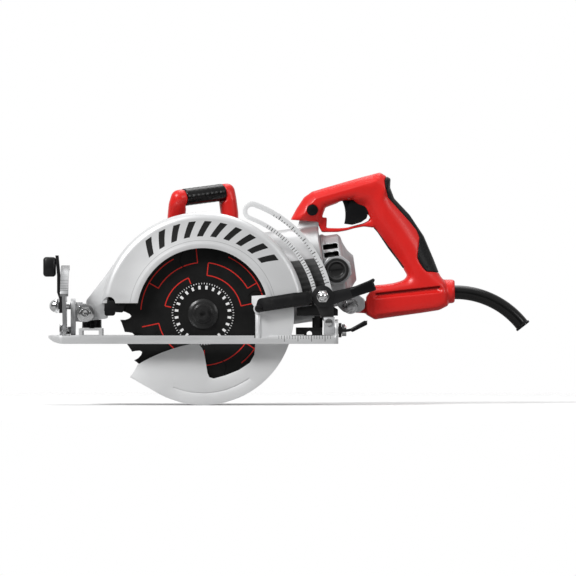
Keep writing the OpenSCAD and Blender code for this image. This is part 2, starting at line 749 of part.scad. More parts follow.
// Stations of the rear handle: outer edge, inner edge, half width, squareness, all from the arbor
grip_line = [
    [[97, 105], [124, 103], handle_half - 1, 4], [[104, 118], [131, 102], handle_half, 3.4],
    [[112, 130], [135, 114], handle_half + 0.5, 3.2], [[121, 136.5], [136, 118.5], handle_half + 0.5,
        3.2],
    [[150, 145], [155, 125.5], handle_half, 3.2], [[178, 153], [166, 126], handle_half, 3],
    [[197, 158], [177, 116], handle_half - 0.5, 2.8], [[209, 151], [184, 106], handle_half - 1, 2.7],
    [[208.5, 141], [188, 97.5], handle_half - 1.5, 2.5], [[213, 129], [194, 91], handle_half - 1.5, 2.5],
    [[230, 111], [206, 73], handle_half - 1.5, 2.5], [[246, 87], [216, 60], handle_half - 1, 2.7],
    [[257, 61], [224, 48.5], handle_half - 0.5, 3], [[264, 43], [227, 43.5], handle_half, 3.6],
    [[271, 34], [226.2, 41], handle_half, 4], [[275, 22], [224.6, 39.3], handle_half, 4.4],
    [[273, 9], [223, 38], handle_half, 4.8], [[263, 4], [221, 37], handle_half, 5],
    [[244, 1], [217.5, 36], handle_half, 5], [[226, -1.5], [213, 34.6], handle_half, 5],
    [[205, -4.5], [203, 33], handle_half, 5], [[191, -6.5], [191, 32], handle_half, 5],
    [[181.5, -1], [181.5, 19], handle_half - 2, 5]
];
guard_line = [
    [[124, 106], [138, 108], 13, 4], [[129, 97], [137.5, 98], 12, 4], [[132, 91], [137, 96], 11, 4],
    [[150, 91.2], [150, 95.6], 10, 4], [[160, 93], [160, 96.2], 10, 4], [[169, 95.6], [168, 98.4], 10, 4],
    [[179, 97.4], [178, 101], 10, 4], [[190, 96], [188, 106], 11, 4]
];

// Section of a bar at one station, shrunk all round by cut
function station(s, cut, turn, n) =
    let (m = (s[0] + s[1]) / 2, d = s[0] - s[1], u = unit(d))
    [for (p = section(norm(d) / 2 - cut, s[2] - cut, s[3], n))
        [m[0] + p[0] * u[0], motor_y + turn * p[1], m[1] + p[0] * u[1]]];

// Bar skinned over its stations
module chain(line, cut = 0, n = 24) {
    m = len(line);
    turn = cross(line[1][0] - line[0][0], line[0][0] - line[0][1]) > 0 ? -1 : 1;
    sides = [for (i = [0:m - 2], j = [0:n - 1])
        let (p = i * n + j, q = i * n + (j + 1) % n) each [[p, q + n, q], [p, p + n, q + n]]];
    caps = [[for (j = [0:n - 1]) j], [for (j = [0:n - 1]) m * n - 1 - j]];
    polyhedron([for (s = line) each station(s, cut, turn, n)], concat(sides, caps));
}

// Outline that the soft grip covers, seen from the side
soft_outline = [
    [202, 149], [203, 141], [206, 129.5], [220, 114], [230, 103], [238, 93], [241, 85], [240, 75],
        [238.5, 63],
    [241, 57], [245, 51], [249, 47], [275, 45.5], [275, 100], [230, 160], [206, 156]
];
finger_outline = [[186, 95.5], [191, 96.5], [224, 52], [219, 47], [200, 66]];

module soft_region() {
    at_arbor() slab(motor_y - 40, motor_y + 40) {
        polygon(soft_outline);
        polygon(finger_outline);
    }
}

module handle_body() {
    at_arbor() {
        chain(grip_line);
        chain(guard_line);
        rod_x([motor_y, 25], 262, 278, 13.4);
        translate([278, motor_y, 25]) rotate([0, 90, 0]) cylinder(h = 2.5, r1 = 13.4, r2 = 12);
        slab(motor_y - 6, motor_y + 6) polygon(rounded([[157, 2, 5], [190, 0, 0], [192, 13.5, 0],
            [157, 14.5, 4]]));
    }
}

module handle_cuts() {
    at_arbor() {
        slab(motor_y - 7.05, motor_y + 7.05) polygon([[98, 85], [102, 106], [110, 121], [118, 126.5],
            [130, 125],
            [134.6, 113], [134.6, 104], [127, 96], [124, 85]]);
        slab(motor_y - 9.4, motor_y + 9.4) polygon([[150, 122], [152, 136], [182, 140], [198, 133],
            [201, 119],
            [191, 110.5], [181, 103.5], [172, 103]]);
        for (s = [-1, 1]) translate([0, motor_y + s * (handle_half - 1.2), 0]) {
            slab(-1.3, 1.3) polygon([[190, 17], [190, 22.5], [265, 30], [267, 27], [265, 24.2]]);
            slab(-0.5, 0.5) polygon([[187.5, -8], [187.5, 24], [189, 24], [189, -8]]);
        }
        rod_x([motor_y, 24], 266, 290, sleeve_d / 2 + 0.3);
        rod_x([motor_y, 24], 270, 274.6, 10.3);
        rod_y([121.5, 115.7], 0, 140, 4.1);
        rod_y([121.5, 115.7], motor_y - handle_half - 3, motor_y - handle_half + 1.4, 6.3);
        rod_y([121.5, 115.7], motor_y + handle_half - 1.4, motor_y + handle_half + 3, 6.3);
        rod_y(lower_bolt_at, 0, 140, lower_bolt_d / 2 + 0.1);
        rod_y(trigger_at, motor_y - 14.3, motor_y + 14.3, 2.05);
        for (p = handle_screw_at) {
            rod_y(p, motor_y - 10.3, motor_y + 40, 2.3);
            rod_y(p, motor_y + 13, motor_y + 40, 4.4);
        }
    }
}

trigger_at = [162, 130];
lower_bolt_at = [164, 8.8];
lower_bolt_d = 6;
handle_screw_at = [[200, 141], [236, 52], [200, 6], [258, 12]];

module handle_shell() {
    difference() {
        handle_body();
        handle_cuts();
        difference() {
            soft_region();
            at_arbor() chain(grip_line, soft_t + 0.3);
        }
    }
}

module handle_left() {
    intersection() {
        handle_shell();
        box([80, motor_y - 60, 0], [320, motor_y, 260]);
    }
}

module handle_right() {
    intersection() {
        handle_shell();
        box([80, motor_y, 0], [320, motor_y + 60, 260]);
    }
}

module soft_grip() {
    difference() {
        intersection() {
            at_arbor() chain(grip_line);
            soft_region();
        }
        at_arbor() chain(grip_line, soft_t);
        at_arbor() chain(guard_line);
        handle_cuts();
    }
}

module handle_screws() {
    at_arbor() for (p = handle_screw_at) difference() {
        union() {
            rod_y(p, motor_y + 13, motor_y + 15.4, 4);
            rod_y(p, motor_y - 10, motor_y + 13, 2);
        }
        translate([p[0], motor_y + 14, p[1]]) rotate([-90, 0, 0]) cylinder(h = 3, r = 2, $fn = 6);
    }
}

module top_bolt() {
    at_arbor() {
        difference() {
            rod_y([121.5, 115.7], motor_y - handle_half + 1.2, motor_y + handle_half - 1.4, 4);
        }
        for (s = [-1, 1]) rod_y([121.5, 115.7], motor_y + s * (handle_half + 0.1) - 1.5,
            motor_y + s * (handle_half + 0.1) + 1.5, 6.2);
    }
}

module lower_bolt() {
    difference() {
        at_arbor() for (s = [-1, 1]) translate([lower_bolt_at[0], motor_y + s * 20, lower_bolt_at[1]])
            rotate([-90 * s, 0, 0]) {
            cylinder(h = 2, r = 9);
            translate([0, 0, 2]) cylinder(h = 5, r = 6.6, $fn = 6);
        }
        on_axis() translate([0, 0, field_end]) cylinder(h = 23.5, r = bell_r + 0.15);
    }
    at_arbor() rod_y(lower_bolt_at, motor_y - 24, motor_y + 24, lower_bolt_d / 2);
}

module trigger() {
    shape = concat(
        curve([[155, 126], [159, 118], [159, 108], [157, 100.5]], 8), [[166, 99.3], [176, 102.2]],
        [[182, 106.5], [184, 113], [182, 124], [176, 131], [166, 135], [157.5, 134]]
    );
    at_arbor() difference() {
        slab(motor_y - 8.5, motor_y + 8.5) polygon(shape);
        rod_y(trigger_at, 0, 140, 2.1);
    }
}

module trigger_pin() {
    at_arbor() rod_y(trigger_at, motor_y - 14, motor_y + 14, 2);
}

module switch_box() {
    at_arbor() slab(motor_y - 9.4, motor_y + 9.4)
        polygon([[186.5, 137.5], [196.6, 132], [199.4, 120], [191.5, 113], [188.6, 116], [187.6, 127]]);
}

module cord_sleeve() {
    r = sleeve_d / 2;
    bore = r - 2.8;
    at_arbor() translate([281, motor_y, 24]) difference() {
        union() {
            rod_x([0, 0], -14, 0, r);
            rod_x([0, 0], -10.6, -6.6, 10);
            translate([0, 0, -sleeve_bend]) rotate([90, 0, 0]) rotate_extrude(angle = 52, start = 38)
                translate([sleeve_bend, 0]) circle(r);
            translate([0, 0, -sleeve_bend]) rotate([0, 52, 0]) rod_x([0, sleeve_bend], -0.4, 2.2,
                r + 1.1);
        }
        rod_x([0, 0], -15, 0, bore);
        translate([0, 0, -sleeve_bend]) rotate([90, 0, 0]) rotate_extrude(angle = 55, start = 35)
            translate([sleeve_bend, 0]) circle(bore);
    }
}

// Ends of the auxiliary grip's axis, from the arbor
aux_a = [-22, 30, 129.5];
aux_b = [21, 58, 135.5];

module along_aux() {
    d = aux_b - aux_a;
    translate(aux_a) rotate([0, 90 - asin(d[2] / norm(d)), atan2(d[1], d[0])]) children();
}

module aux_frame() {
    d = aux_b - aux_a;
    u = d / norm(d);
    left = [[-28, 54, 64.5, 12, 13], [-30, 50, 88, 10, 12], [-30, 40, 108, 10, 12], [-28.5, 31, 122,
        10, 11]];
    right = [[28, 68, 64.5, 11, 13], [29, 66, 88, 10, 12], [29, 64, 112, 10, 12], [27, 62, 127, 10, 11]];
    difference() {
        at_arbor() for (leg = [left, right]) {
            for (i = [0:2]) hull() for (s = [leg[i], leg[i + 1]]) translate([s[0], s[1], s[2]])
                linear_extrude(1, center = true) polygon(section(s[3], s[4], 2.6, 24));
            e = leg == left ? aux_a - 6 * u : aux_b + 6 * u;
            hull() {
                translate([leg[3][0], leg[3][1], leg[3][2]]) linear_extrude(1, center = true)
                    polygon(section(10, 11, 2.6, 24));
                translate(e) sphere(r = aux_d / 2 - 0.5, $fn = 24);
            }
            hull() {
                translate(e) sphere(r = aux_d / 2 - 0.5, $fn = 24);
                translate(leg == left ? aux_a - 1.5 * u : aux_b + 1.5 * u)
                    rotate([0, 90 - asin(u[2]), atan2(d[1], d[0])]) cylinder(h = 3,
                        r = aux_d / 2 - 0.4, center = true, $fn = 24);
            }
        }
        at_arbor() along_aux() translate([0, 0, -8]) cylinder(h = norm(d) + 16, r = 4.1, $fn = 24);
        at_arbor() along_aux() cylinder(h = norm(d), r = aux_d / 2 + 2, $fn = 32);
        at_arbor() for (p = [[-28, 54], [28, 68]]) {
            rod_z(p, 60, 76, 3.4);
            rod_z(p, 72, 82, 5.6);
        }
    }
}

module aux_grip() {
    n = norm(aux_b - aux_a);
    at_arbor() along_aux() difference() {
        cylinder(h = n, r = aux_d / 2);
        translate([0, 0, -1]) cylinder(h = n + 2, r = 4.1);
        for (z = [6:6:n - 5]) translate([0, 0, z]) rotate_extrude() translate([aux_d / 2 - 0.7,
            0]) square([2, 1.2]);
    }
}

module aux_bolts() {
    n = norm(aux_b - aux_a);
    at_arbor() along_aux() translate([0, 0, -7.5]) cylinder(h = n + 15, r = 4);
    at_arbor() for (p = [[-28, 54], [28, 68]]) {
        rod_z(p, 48, 72, 3);
        rod_z(p, 72, 77, 5);
    }
}

module pivot_block() {
    q = pivot;
    ear = [[q[0] - 16, q[1] - 9, 2], [q[0], q[1] - 10, 0], [q[0] + 10, q[1] - 6, 5], [q[0] + 10,
        q[1] + 7, 5],
        [q[0], q[1] + 10.5, 4], [q[0] - 16, q[1] + 10.5, 2]];
    difference() {
        union() {
            slab(-4, 3.6) polygon(rounded(ear));
            slab(14.4, 21) polygon(rounded(ear));
            plate_x(q[0] - 16, q[0] - 11) polygon(rounded([[-9, 9.5, 4], [21, 9.5, 6], [21, 44, 4], [8,
                50, 6],
                [-7, 50, 6], [-9, 36, 3]]));
            rod_z([q[0] - 7, 0], q[1] + 9, q[1] + 12, 4);
        }
        rod_y(q, -10, 30, 5.05);
        for (z = [bevel_z, bevel_z + lock_r]) rod_x([0, z], q[0] - 20, q[0] - 10, 4);
    }
}

module pivot_bolt() {
    q = pivot;
    difference() {
        union() {
            rod_y(q, -5.6, -4, 10);
            translate([q[0], -11, q[1]]) rotate([-90, 0, 0]) cylinder(h = 5.4, r = 7.2, $fn = 6);
            rod_y(q, -12.4, -11, 5);
            rod_y(q, -4, 24, 5);
            translate([q[0], 21, q[1]]) rotate([-90, 0, 0]) cylinder(h = 6, r = 7.2, $fn = 6);
        }
        translate([q[0], -13, q[1]]) rotate([-90, 0, 0]) cylinder(h = 2.4, r = 2.6, $fn = 6);
    }
}

module depth_bracket() {
    p = bracket_pin_at;
    low = bolt_a - 4.5;
    m = slot_r + bracket_out;
    b = slot_c + m * [cos(low), sin(low)];
    half = bracket_w / 2;
    slab(bracket_y, bracket_y + bracket_t) difference() {
        union() {
            polygon(concat(arc(slot_c, m + half, low, slot_end, 40),
                arc(slot_c + m * [cos(slot_end), sin(slot_end)], half, slot_end, slot_end + 180, 14),
                arc(slot_c, m - half, slot_end, low, 40)));
            polygon([p + [-5.4, 0], p + [5.4, 0], b + [half - 0.1, 1.5], b + [9, 6], b + [-9, 6],
                b + [0.1 - half, 1.5]]);
            translate(p) circle(5.4);
        }
        polygon(concat(arc(slot_c, slot_r + slot_w / 2, bolt_a, slot_end, 40),
            arc(slot_c + slot_r * [cos(slot_end), sin(slot_end)], slot_w / 2, slot_end, slot_end + 180,
                10),
            arc(slot_c, slot_r - slot_w / 2, slot_end, bolt_a, 40),
            arc(slot_c + slot_r * [cos(bolt_a), sin(bolt_a)], slot_w / 2, bolt_a + 180, bolt_a + 360,
                10)));
        translate(p) circle(2.55);
    }
}

module bracket_pin() {
    rod_y(bracket_pin_at, -8, 20, 2.5);
    for (y = [-9.6, 20]) rod_y(bracket_pin_at, y, y + 1.6, 4);
}

module rear_block() {
    p = bracket_pin_at;
    e = foot_rear - 4;
    difference() {
        plate_x(p[0] - 5.6, e) polygon(rounded([[-8, 10, 3], [20, 10, 3], [20, p[1] + 5.8, 3], [-8,
            p[1] + 5.8, 3]]));
        box([p[0] - 8, bracket_y - 0.4, p[1] - 6], [e + 1, bracket_y + bracket_t + 0.4, p[1] + 9]);
        rod_y(p, -12, 30, 2.5);
        rod_x([0, bevel_z], p[0] + 3, e + 1, 4);
    }
}

module depth_bolt() {
    b = depth_bolt_at;
    y = bracket_y;
    rod_y(b, y - 18, bolt_wall + motor_wall + 0.3, depth_bolt_d / 2);
    difference() {
        rod_y(b, y + bracket_t + 0.3, 9, 9);
        rod_y(b, 0, 20, depth_bolt_d / 2 - 1);
    }
}

module depth_lever() {
    b = depth_bolt_at;
    y = bracket_y;
    wing = concat(
        [b + [4, 11]], curve([b + [11, 5.5], b + [24, 9], b + [36, 9], b + [56, 20]], 8), [b + [57.8,
            18.4]],
        curve([b + [57.5, 17], b + [52, 6], b + [42, 1], b + [30, -3]], 8), curve([b + [30, -3],
            b + [20, -6], b + [14, -9], b + [4, -11]], 6)
    );
    difference() {
        union() {
            rod_y(b, y - 17, y - 0.4, 12);
            slab(y - 16, y - 8) polygon(wing);
            rod_y(b, y - 18.2, y - 17, 9);
            translate([b[0], y - 22.5, b[1]]) rotate([-90, 0, 0]) cylinder(h = 4.4, r = 7.4, $fn = 6);
            translate([b[0], y - 22.5, b[1]]) rotate([90, 0, 0])
                rotate_extrude() polygon(concat([[0, 0]], arc([0, 0], 5.8, 0, 90, 6)));
        }
        rod_y(b, y - 19, y, depth_bolt_d / 2 + 0.05);
    }
}

module stop_plate() {
    b = depth_bolt_at;
    difference() {
        slab(9, 12) polygon(concat([[104, 31], [b[0] + 17, 31], [b[0] + 17, 38], [b[0] + 11, 42]],
            arc(b, 11, 10, 170, 12),
            [[b[0] - 12, 42], [104, 40]]));
        rod_y(b, 0, 20, depth_bolt_d / 2 + 0.05);
    }
}

module stop_screw() {
    difference() {
        union() {
            box([112.05, 5, floor_t], [132.5, 23, 18]);
            box([103, 5, 10], [113, 23, 18]);
            rod_z([127, 13], 18, 29, 5.8);
            rod_z([127, 13], 29, 30.6, 3.5);
        }
        for (i = [0:11]) rotate(0) translate([127, 13, 20]) rotate(30 * i) translate([5.9, -0.6,
            0]) cube([2, 1.2, 7]);
        for (z = [11]) rod_y([118, z], 0, 30, 3);
    }
}

module bevel_quadrant() {
    x = pivot_x - 20.5;
    r = quadrant_r;
    c = [0, bevel_z];
    far = 92 + bevel_max;
    fan = concat([[15, floor_t], [15, bevel_z + 6]], arc(c, r, 84, 146, 14),
        [c + 42 * [cos(157), sin(157)], c + 33 * [cos(168), sin(168)], [-24, 14], [-24, floor_t]]);
    difference() {
        union() {
            plate_x(x - 4, x) polygon(fan);
            plate_x(x - 6, x + 3) polygon(concat(arc(c, r, 84, 146, 14), arc(c, r - 5, 146, 84, 14)));
            plate_x(x, x + 3.6) polygon(rounded([[-24, floor_t, 0], [15, floor_t, 0], [15, 11, 3],
                [-24, 11, 3]]));
        }
        rod_x(c, x - 10, x + 10, 4.08);
        plate_x(x - 5, x + 1) polygon(concat(arc(c, lock_r + 4.4, 88, far, 14),
            arc(c + lock_r * [cos(far), sin(far)], 4.4, far, far + 180, 10),
            arc(c, lock_r - 4.4, far, 88, 14),
            arc(c + lock_r * [cos(88), sin(88)], 4.4, 268, 448, 10)));
        plate_x(x - 5, x + 1) polygon(concat(arc(c, r - 12, 96, 140, 10), arc(c, lock_r + 12, 140, 104,
            10)));
    }
}

module bevel_studs() {
    x = pivot_x - 20.5;
    e = foot_rear;
    rod_x([0, bevel_z], x - 8, pivot_x - 11, 4);
    translate([x - 8, 0, bevel_z]) rotate([0, 90, 0]) cylinder(h = 3.8, r = 7, $fn = 6);
    rod_x([0, bevel_z + lock_r], x - 10, pivot_x - 11, 4);
    translate([x - 12.4, 0, bevel_z + lock_r]) rotate([0, 90, 0]) cylinder(h = 3.2, r = 8, $fn = 6);
    translate([x - 12.4, 0, bevel_z + lock_r]) rotate([0, -90, 0])
        rotate_extrude() polygon(concat([[0, 0]], arc([0, 0], 7, 0, 90, 8)));
    rod_x([0, bevel_z], bracket_pin_at[0] + 3, e + 8, 4);
    translate([e + 4, 0, bevel_z]) rotate([0, 90, 0]) cylinder(h = 5, r = 6.6, $fn = 6);
}

module bevel_lever() {
    x = pivot_x - 24.6;
    z = bevel_z + lock_r;
    stem = [[x - 4.3, z - 8], [x - 0.3, z - 8], [x - 0.3, z + 8], [x - 3, z + 16], [x - 3, z + 34],
        [x - 5, z + 56],
        [x - 8.5, z + 56], [x - 6.6, z + 33], [x - 6.6, z + 15], [x - 4.3, z + 8]];
    difference() {
        union() {
            slab(-7, 7) polygon(stem);
            hull() for (dx = [-18.3, -11.7], dy = [-5, 5], dz = [36, 50.5])
                translate([x + dx, dy, z + dz]) sphere(r = 3.8, $fn = 16);
        }
        rod_x([0, z], x - 12, x + 4, 4.08);
    }
}

module rear_lever() {
    e = foot_rear;
    difference() {
        union() {
            rod_x([0, bevel_z], e + 0.4, e + 3.6, 8);
            slab(-22, -8) polygon(concat(curve([[e + 0.4, 14], [e + 10, 11], [e + 20, 15], [e + 32,
                23]], 8),
                curve([[e + 32, 26], [e + 20, 18], [e + 10, 14.4], [e + 0.4, 17]], 8)));
            box([e + 0.4, -22, 11.5], [e + 3.4, 0, 18]);
        }
        rod_x([0, bevel_z], e - 2, e + 6, 4.08);
    }
}

module foot() {
    f = -foot_front;
    l = -foot_left;
    r = foot_right;
    side = concat([[foot_rear, 0], [f + 16, 0]], curve([[f + 16, 0], [f + 8, 0.4], [f + 3, 3.6], [f,
        7]], 6),
        [[f, rail_h - 0.4], [f + 0.6, rail_h], [foot_rear, rail_h]]);
    plan = rounded([[f, l + 8, 10], [f, r - 8, 16], [f + 18, r, 16], [foot_rear, r, 8], [foot_rear, l,
        6], [f + 14, l, 10]], 6);
    slot = rounded([[-95, -13, 5], [108, -13, 5], [108, 40, 6], [-95, 40, 6]], 5);
    difference() {
        union() {
            difference() {
                intersection() {
                    slab(l, r) polygon(side);
                    linear_extrude(30) polygon(plan);
                }
                difference() {
                    translate([0, 0, floor_t]) linear_extrude(30) polygon(rounded([[f + 9, l + 5.5, 5],
                        [f + 9, r - 5, 14],
                        [foot_rear - 5, r - 5, 6], [foot_rear - 5, l + 5.5, 5]], 5));
                    box([-99, 40, 0], [112, 43, 7]);
                    box([-99, -16, 0], [-95, 43, 7]);
                    box([108, -16, 0], [112, 43, 7]);
                    for (y = [66, 92]) box([f + 8, y, 0], [foot_rear - 4, y + 3, 7]);
                    for (x = [-60, 40]) box([x, 41, 0], [x + 3, r - 4, 6.4]);
                }
            }
            rod_x([0, bevel_z], foot_rear - 3.6, foot_rear, 12);
            box([foot_rear - 3.6, -12, 1], [foot_rear, 12, bevel_z]);
            box([-137, l, 0], [-111, l + 8, 17]);
            box([-137, 26, 0], [-111, 45, 17]);
        }
        translate([0, 0, -1]) linear_extrude(20) polygon(slot);
        box([-133, l - 1, rail_h + 0.4], [-115, 46, 14.8]);
        rod_x([0, bevel_z], foot_rear - 5, foot_rear + 1, 4.08);
        box([foot_rear - 6, -11, 5.5], [foot_rear - 3.4, 6, rail_h + 1]);
        rod_z([-124, 35.5], 13, 20, 3.2);
        box([57, l - 1, 6.4], [72, l + 7, 12]);
        for (y = [0, 18]) translate([f, y, -1]) linear_extrude(20) polygon([[-1, -3], [8, 0], [-1, 3]]);
    }
}

module fence_knob() {
    difference() {
        union() {
            rod_z([-124, 35.5], 17.4, 26.6, 11);
            rod_z([-124, 35.5], 15, 18, 3);
        }
        for (i = [0:7]) translate([-124, 35.5, 19]) rotate(45 * i) translate([12.4, 0,
            0]) cylinder(h = 12, r = 3);
    }
}

color(black) saw_blade();
color(steel) inner_washer();
color(black) outer_washer();
color(black) blade_bolt();
color(steel) arbor_shaft();
color(copper) worm_wheel();
color(chrome) arbor_bearings();
color(steel) armature_shaft();
color(steel) worm();
color(steel) armature_core();
color(copper) commutator();
color(black) cooling_fan();
color(chrome) armature_bearings();
color(copper) field_stator();
color(black) carbon_brushes();
color(black) brush_caps();
color(silver) motor_housing();
color(alloy) commutator_housing();
color(silver) gear_case();
color(alloy) front_cover();
color(alloy) side_cover();
color(steel) cover_screws();
color(steel) oil_plug();
color(red) spindle_lock();
color(silver) upper_guard();
color(steel) guard_screws();
color(silver) lower_guard();
color(black) lift_lever();
color(steel) lever_screws();
color(steel) guard_spring();
color(steel) guard_ring();
color(black) guard_bumpers();
color(red) handle_left();
color(red) handle_right();
color(black) soft_grip();
color(steel) handle_screws();
color(black) top_bolt();
color(black) lower_bolt();
color(black) trigger();
color(steel) trigger_pin();
color(black) switch_box();
color(black) cord_sleeve();
color(red) aux_frame();
color(black) aux_grip();
color(steel) aux_bolts();
color(alloy) pivot_block();
color(steel) pivot_bolt();
color(steel) depth_bracket();
color(steel) bracket_pin();
color(alloy) rear_block();
color(steel) depth_bolt();
color(black) depth_lever();
color(black) stop_plate();
color(black) stop_screw();
color(alloy) bevel_quadrant();
color(chrome) bevel_studs();
color(black) bevel_lever();
color(black) rear_lever();
color(silver) foot();
color(black) fence_knob();
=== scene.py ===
"""Looks of a worm drive circular saw: finishes, softened castings, small trim, stage and camera.

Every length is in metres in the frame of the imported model: X runs to the rear, Y to the motor side
and Z up, with the origin on the sole of the foot, in the blade's plane, under the arbor. A span has
two ends, a band a middle and a half width, a point its X and Z, and a ramp two ends and what they
become.
"""

from __future__ import annotations

import logging
import math
from collections.abc import Iterable, Mapping
from dataclasses import dataclass, field
from enum import Enum
from functools import cache, reduce
from typing import Any, TypeAlias

import bmesh
import bpy
from bmesh.types import BMesh
from bpy.types import Material, Node, NodeSocket, Object
from mathutils import Matrix, Vector


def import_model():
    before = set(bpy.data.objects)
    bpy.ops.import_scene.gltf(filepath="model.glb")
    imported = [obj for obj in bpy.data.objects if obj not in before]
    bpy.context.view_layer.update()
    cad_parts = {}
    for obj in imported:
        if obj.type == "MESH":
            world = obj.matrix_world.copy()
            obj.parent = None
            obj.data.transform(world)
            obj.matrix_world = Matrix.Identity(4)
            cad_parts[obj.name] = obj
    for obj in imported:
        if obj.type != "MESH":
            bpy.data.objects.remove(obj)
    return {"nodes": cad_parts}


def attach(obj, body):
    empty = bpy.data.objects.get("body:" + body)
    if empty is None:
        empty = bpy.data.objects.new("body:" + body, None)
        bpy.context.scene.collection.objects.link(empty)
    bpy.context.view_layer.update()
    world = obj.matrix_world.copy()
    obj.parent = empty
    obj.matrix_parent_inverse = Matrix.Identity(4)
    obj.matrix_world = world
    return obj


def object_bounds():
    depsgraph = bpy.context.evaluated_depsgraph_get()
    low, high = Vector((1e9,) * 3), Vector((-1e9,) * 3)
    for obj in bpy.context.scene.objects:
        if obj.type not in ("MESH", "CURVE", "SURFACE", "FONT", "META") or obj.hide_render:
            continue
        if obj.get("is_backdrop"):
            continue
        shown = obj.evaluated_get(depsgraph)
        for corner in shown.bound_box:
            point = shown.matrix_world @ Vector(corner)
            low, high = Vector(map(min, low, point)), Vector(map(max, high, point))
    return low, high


LOG = logging.getLogger("circular_saw")
MM = 0.001
ARBOR = Vector((0.0, 0.0, 33 * MM))
MOTOR_TILT = math.radians(8)
MOTOR_Y = 70 * MM
WORM_DISTANCE = 27.5 * MM
FLOOR_GAP = 0.2 * MM
NOISE_ROUGHNESS = 0.55

Colour = tuple[float, float, float, float]
Span = tuple[float, float]
Band = tuple[float, float]
Point = tuple[float, float]
Triple = tuple[float, float, float]
Ramp = tuple[float, float, float, float]
Values = Mapping[Any, Any]
Term: TypeAlias = "Number | float"


def mm(*lengths: float) -> tuple[float, ...]:
    """Turns millimetres into metres."""
    return tuple(length * MM for length in lengths)


def grey(level: float) -> Colour:
    """Gives a neutral colour."""
    return (level, level, level, 1.0)


def toned(colour: Colour, factor: float) -> Colour:
    """Gives a colour made darker or lighter by a factor."""
    return (*(min(part * factor, 1.0) for part in colour[:3]), 1.0)


@dataclass(frozen=True)
class Number:
    """A shader socket that takes part in Python sums, each of which adds a Math node."""

    tree: NodeTree
    socket: NodeSocket

    def __add__(self, other: Term) -> Number:
        """Adds a number."""
        return self.tree.math("ADD", self, other)

    __radd__ = __add__

    def __sub__(self, other: Term) -> Number:
        """Takes a number away."""
        return self.tree.math("SUBTRACT", self, other)

    def __rsub__(self, other: Term) -> Number:
        """Takes this from a number."""
        return self.tree.math("SUBTRACT", other, self)

    def __mul__(self, other: Term) -> Number:
        """Multiplies by a number."""
        return self.tree.math("MULTIPLY", self, other)

    __rmul__ = __mul__

    def __truediv__(self, other: Term) -> Number:
        """Divides by a number."""
        return self.tree.math("DIVIDE", self, other)

    def __rtruediv__(self, other: Term) -> Number:
        """Divides a number by this."""
        return self.tree.math("DIVIDE", other, self)

    def __mod__(self, other: Term) -> Number:
        """Remainder that stays positive."""
        return self.tree.math("FLOORED_MODULO", self, other)

    def __lt__(self, other: Term) -> Number:
        """One where this is smaller, else zero."""
        return self.tree.math("LESS_THAN", self, other)

    def __gt__(self, other: Term) -> Number:
        """One where this is larger, else zero."""
        return self.tree.math("GREATER_THAN", self, other)

    def between(self, low: Term, high: Term) -> Number:
        """One where this lies between two values, else zero."""
        return (self > low) * (self < high)

    def near(self, middle: Term, half: float) -> Number:
        """One where this is within half of a middle value, else zero."""
        return self.tree.math("ABSOLUTE", self - middle) < half

    def either(self, other: Term) -> Number:
        """Larger of two masks."""
        return self.tree.math("MAXIMUM", self, other)


class NodeTree:
    """A node tree, with one call that adds a node of any kind and one that adds a sum."""

    def __init__(self, tree: bpy.types.NodeTree) -> None:
        """Keeps the tree's nodes and links."""
        self.nodes = tree.nodes
        self.links = tree.links

    def add(self, kind: str, settings: Values | None = None, inputs: Values | None = None) -> Node:
        """Adds one node.

        Args:
            kind: Blender's name of the node type.
            settings: Values of the node's own settings.
            inputs: Values or links of its sockets, by name or number.

        Returns:
            The new node.
        """
        node = self.nodes.new(kind)
        for name, value in (settings or {}).items():
            setattr(node, name, value)
        for key, value in (inputs or {}).items():
            self.feed(node.inputs[key], value)
        return node

    def feed(self, socket: NodeSocket, value: Any) -> None:
        """Links a socket, or sets its value.

        Args:
            socket: Input socket.
            value: Number, output socket or plain value.
        """
        source = value.socket if isinstance(value, Number) else value
        if isinstance(source, NodeSocket):
            self.links.new(source, socket)
        else:
            socket.default_value = source

    def math(self, operation: str, *values: Term) -> Number:
        """Adds a Math node on up to three values."""
        node = self.add("ShaderNodeMath", {"operation": operation}, dict(enumerate(values)))
        return Number(self, node.outputs[0])

    def split(self, vector: NodeSocket) -> list[Number]:
        """Splits a vector into its three numbers."""
        node = self.add("ShaderNodeSeparateXYZ", inputs={0: vector})
        return [Number(self, socket) for socket in node.outputs]

    def vector(self, x: Term, y: Term, z: Term) -> NodeSocket:
        """Joins three numbers into a vector."""
        return self.add("ShaderNodeCombineXYZ", inputs={0: x, 1: y, 2: z}).outputs[0]

    def distance(self, across: Number, up: Number) -> Number:
        """Gives the distance from an axis that two offsets are taken from."""
        return self.math("SQRT", across * across + up * up)

    def spread(
        self, value: Number, low: float, high: float,
        out_low: float = 0.0, out_high: float = 1.0, eased: bool = False,
    ) -> Number:
        """Maps one range of values to another, held at its ends.

        Args:
            value: Value to map.
            low: Lower end of its range.
            high: Upper end of its range.
            out_low: What the lower end becomes.
            out_high: What the upper end becomes.
            eased: Whether the ends are rounded off.

        Returns:
            The mapped value.
        """
        settings = {"clamp": True, "interpolation_type": "SMOOTHSTEP" if eased else "LINEAR"}
        inputs = {0: value, 1: low, 2: high, 3: out_low, 4: out_high}
        return Number(self, self.add("ShaderNodeMapRange", settings, inputs).outputs[0])


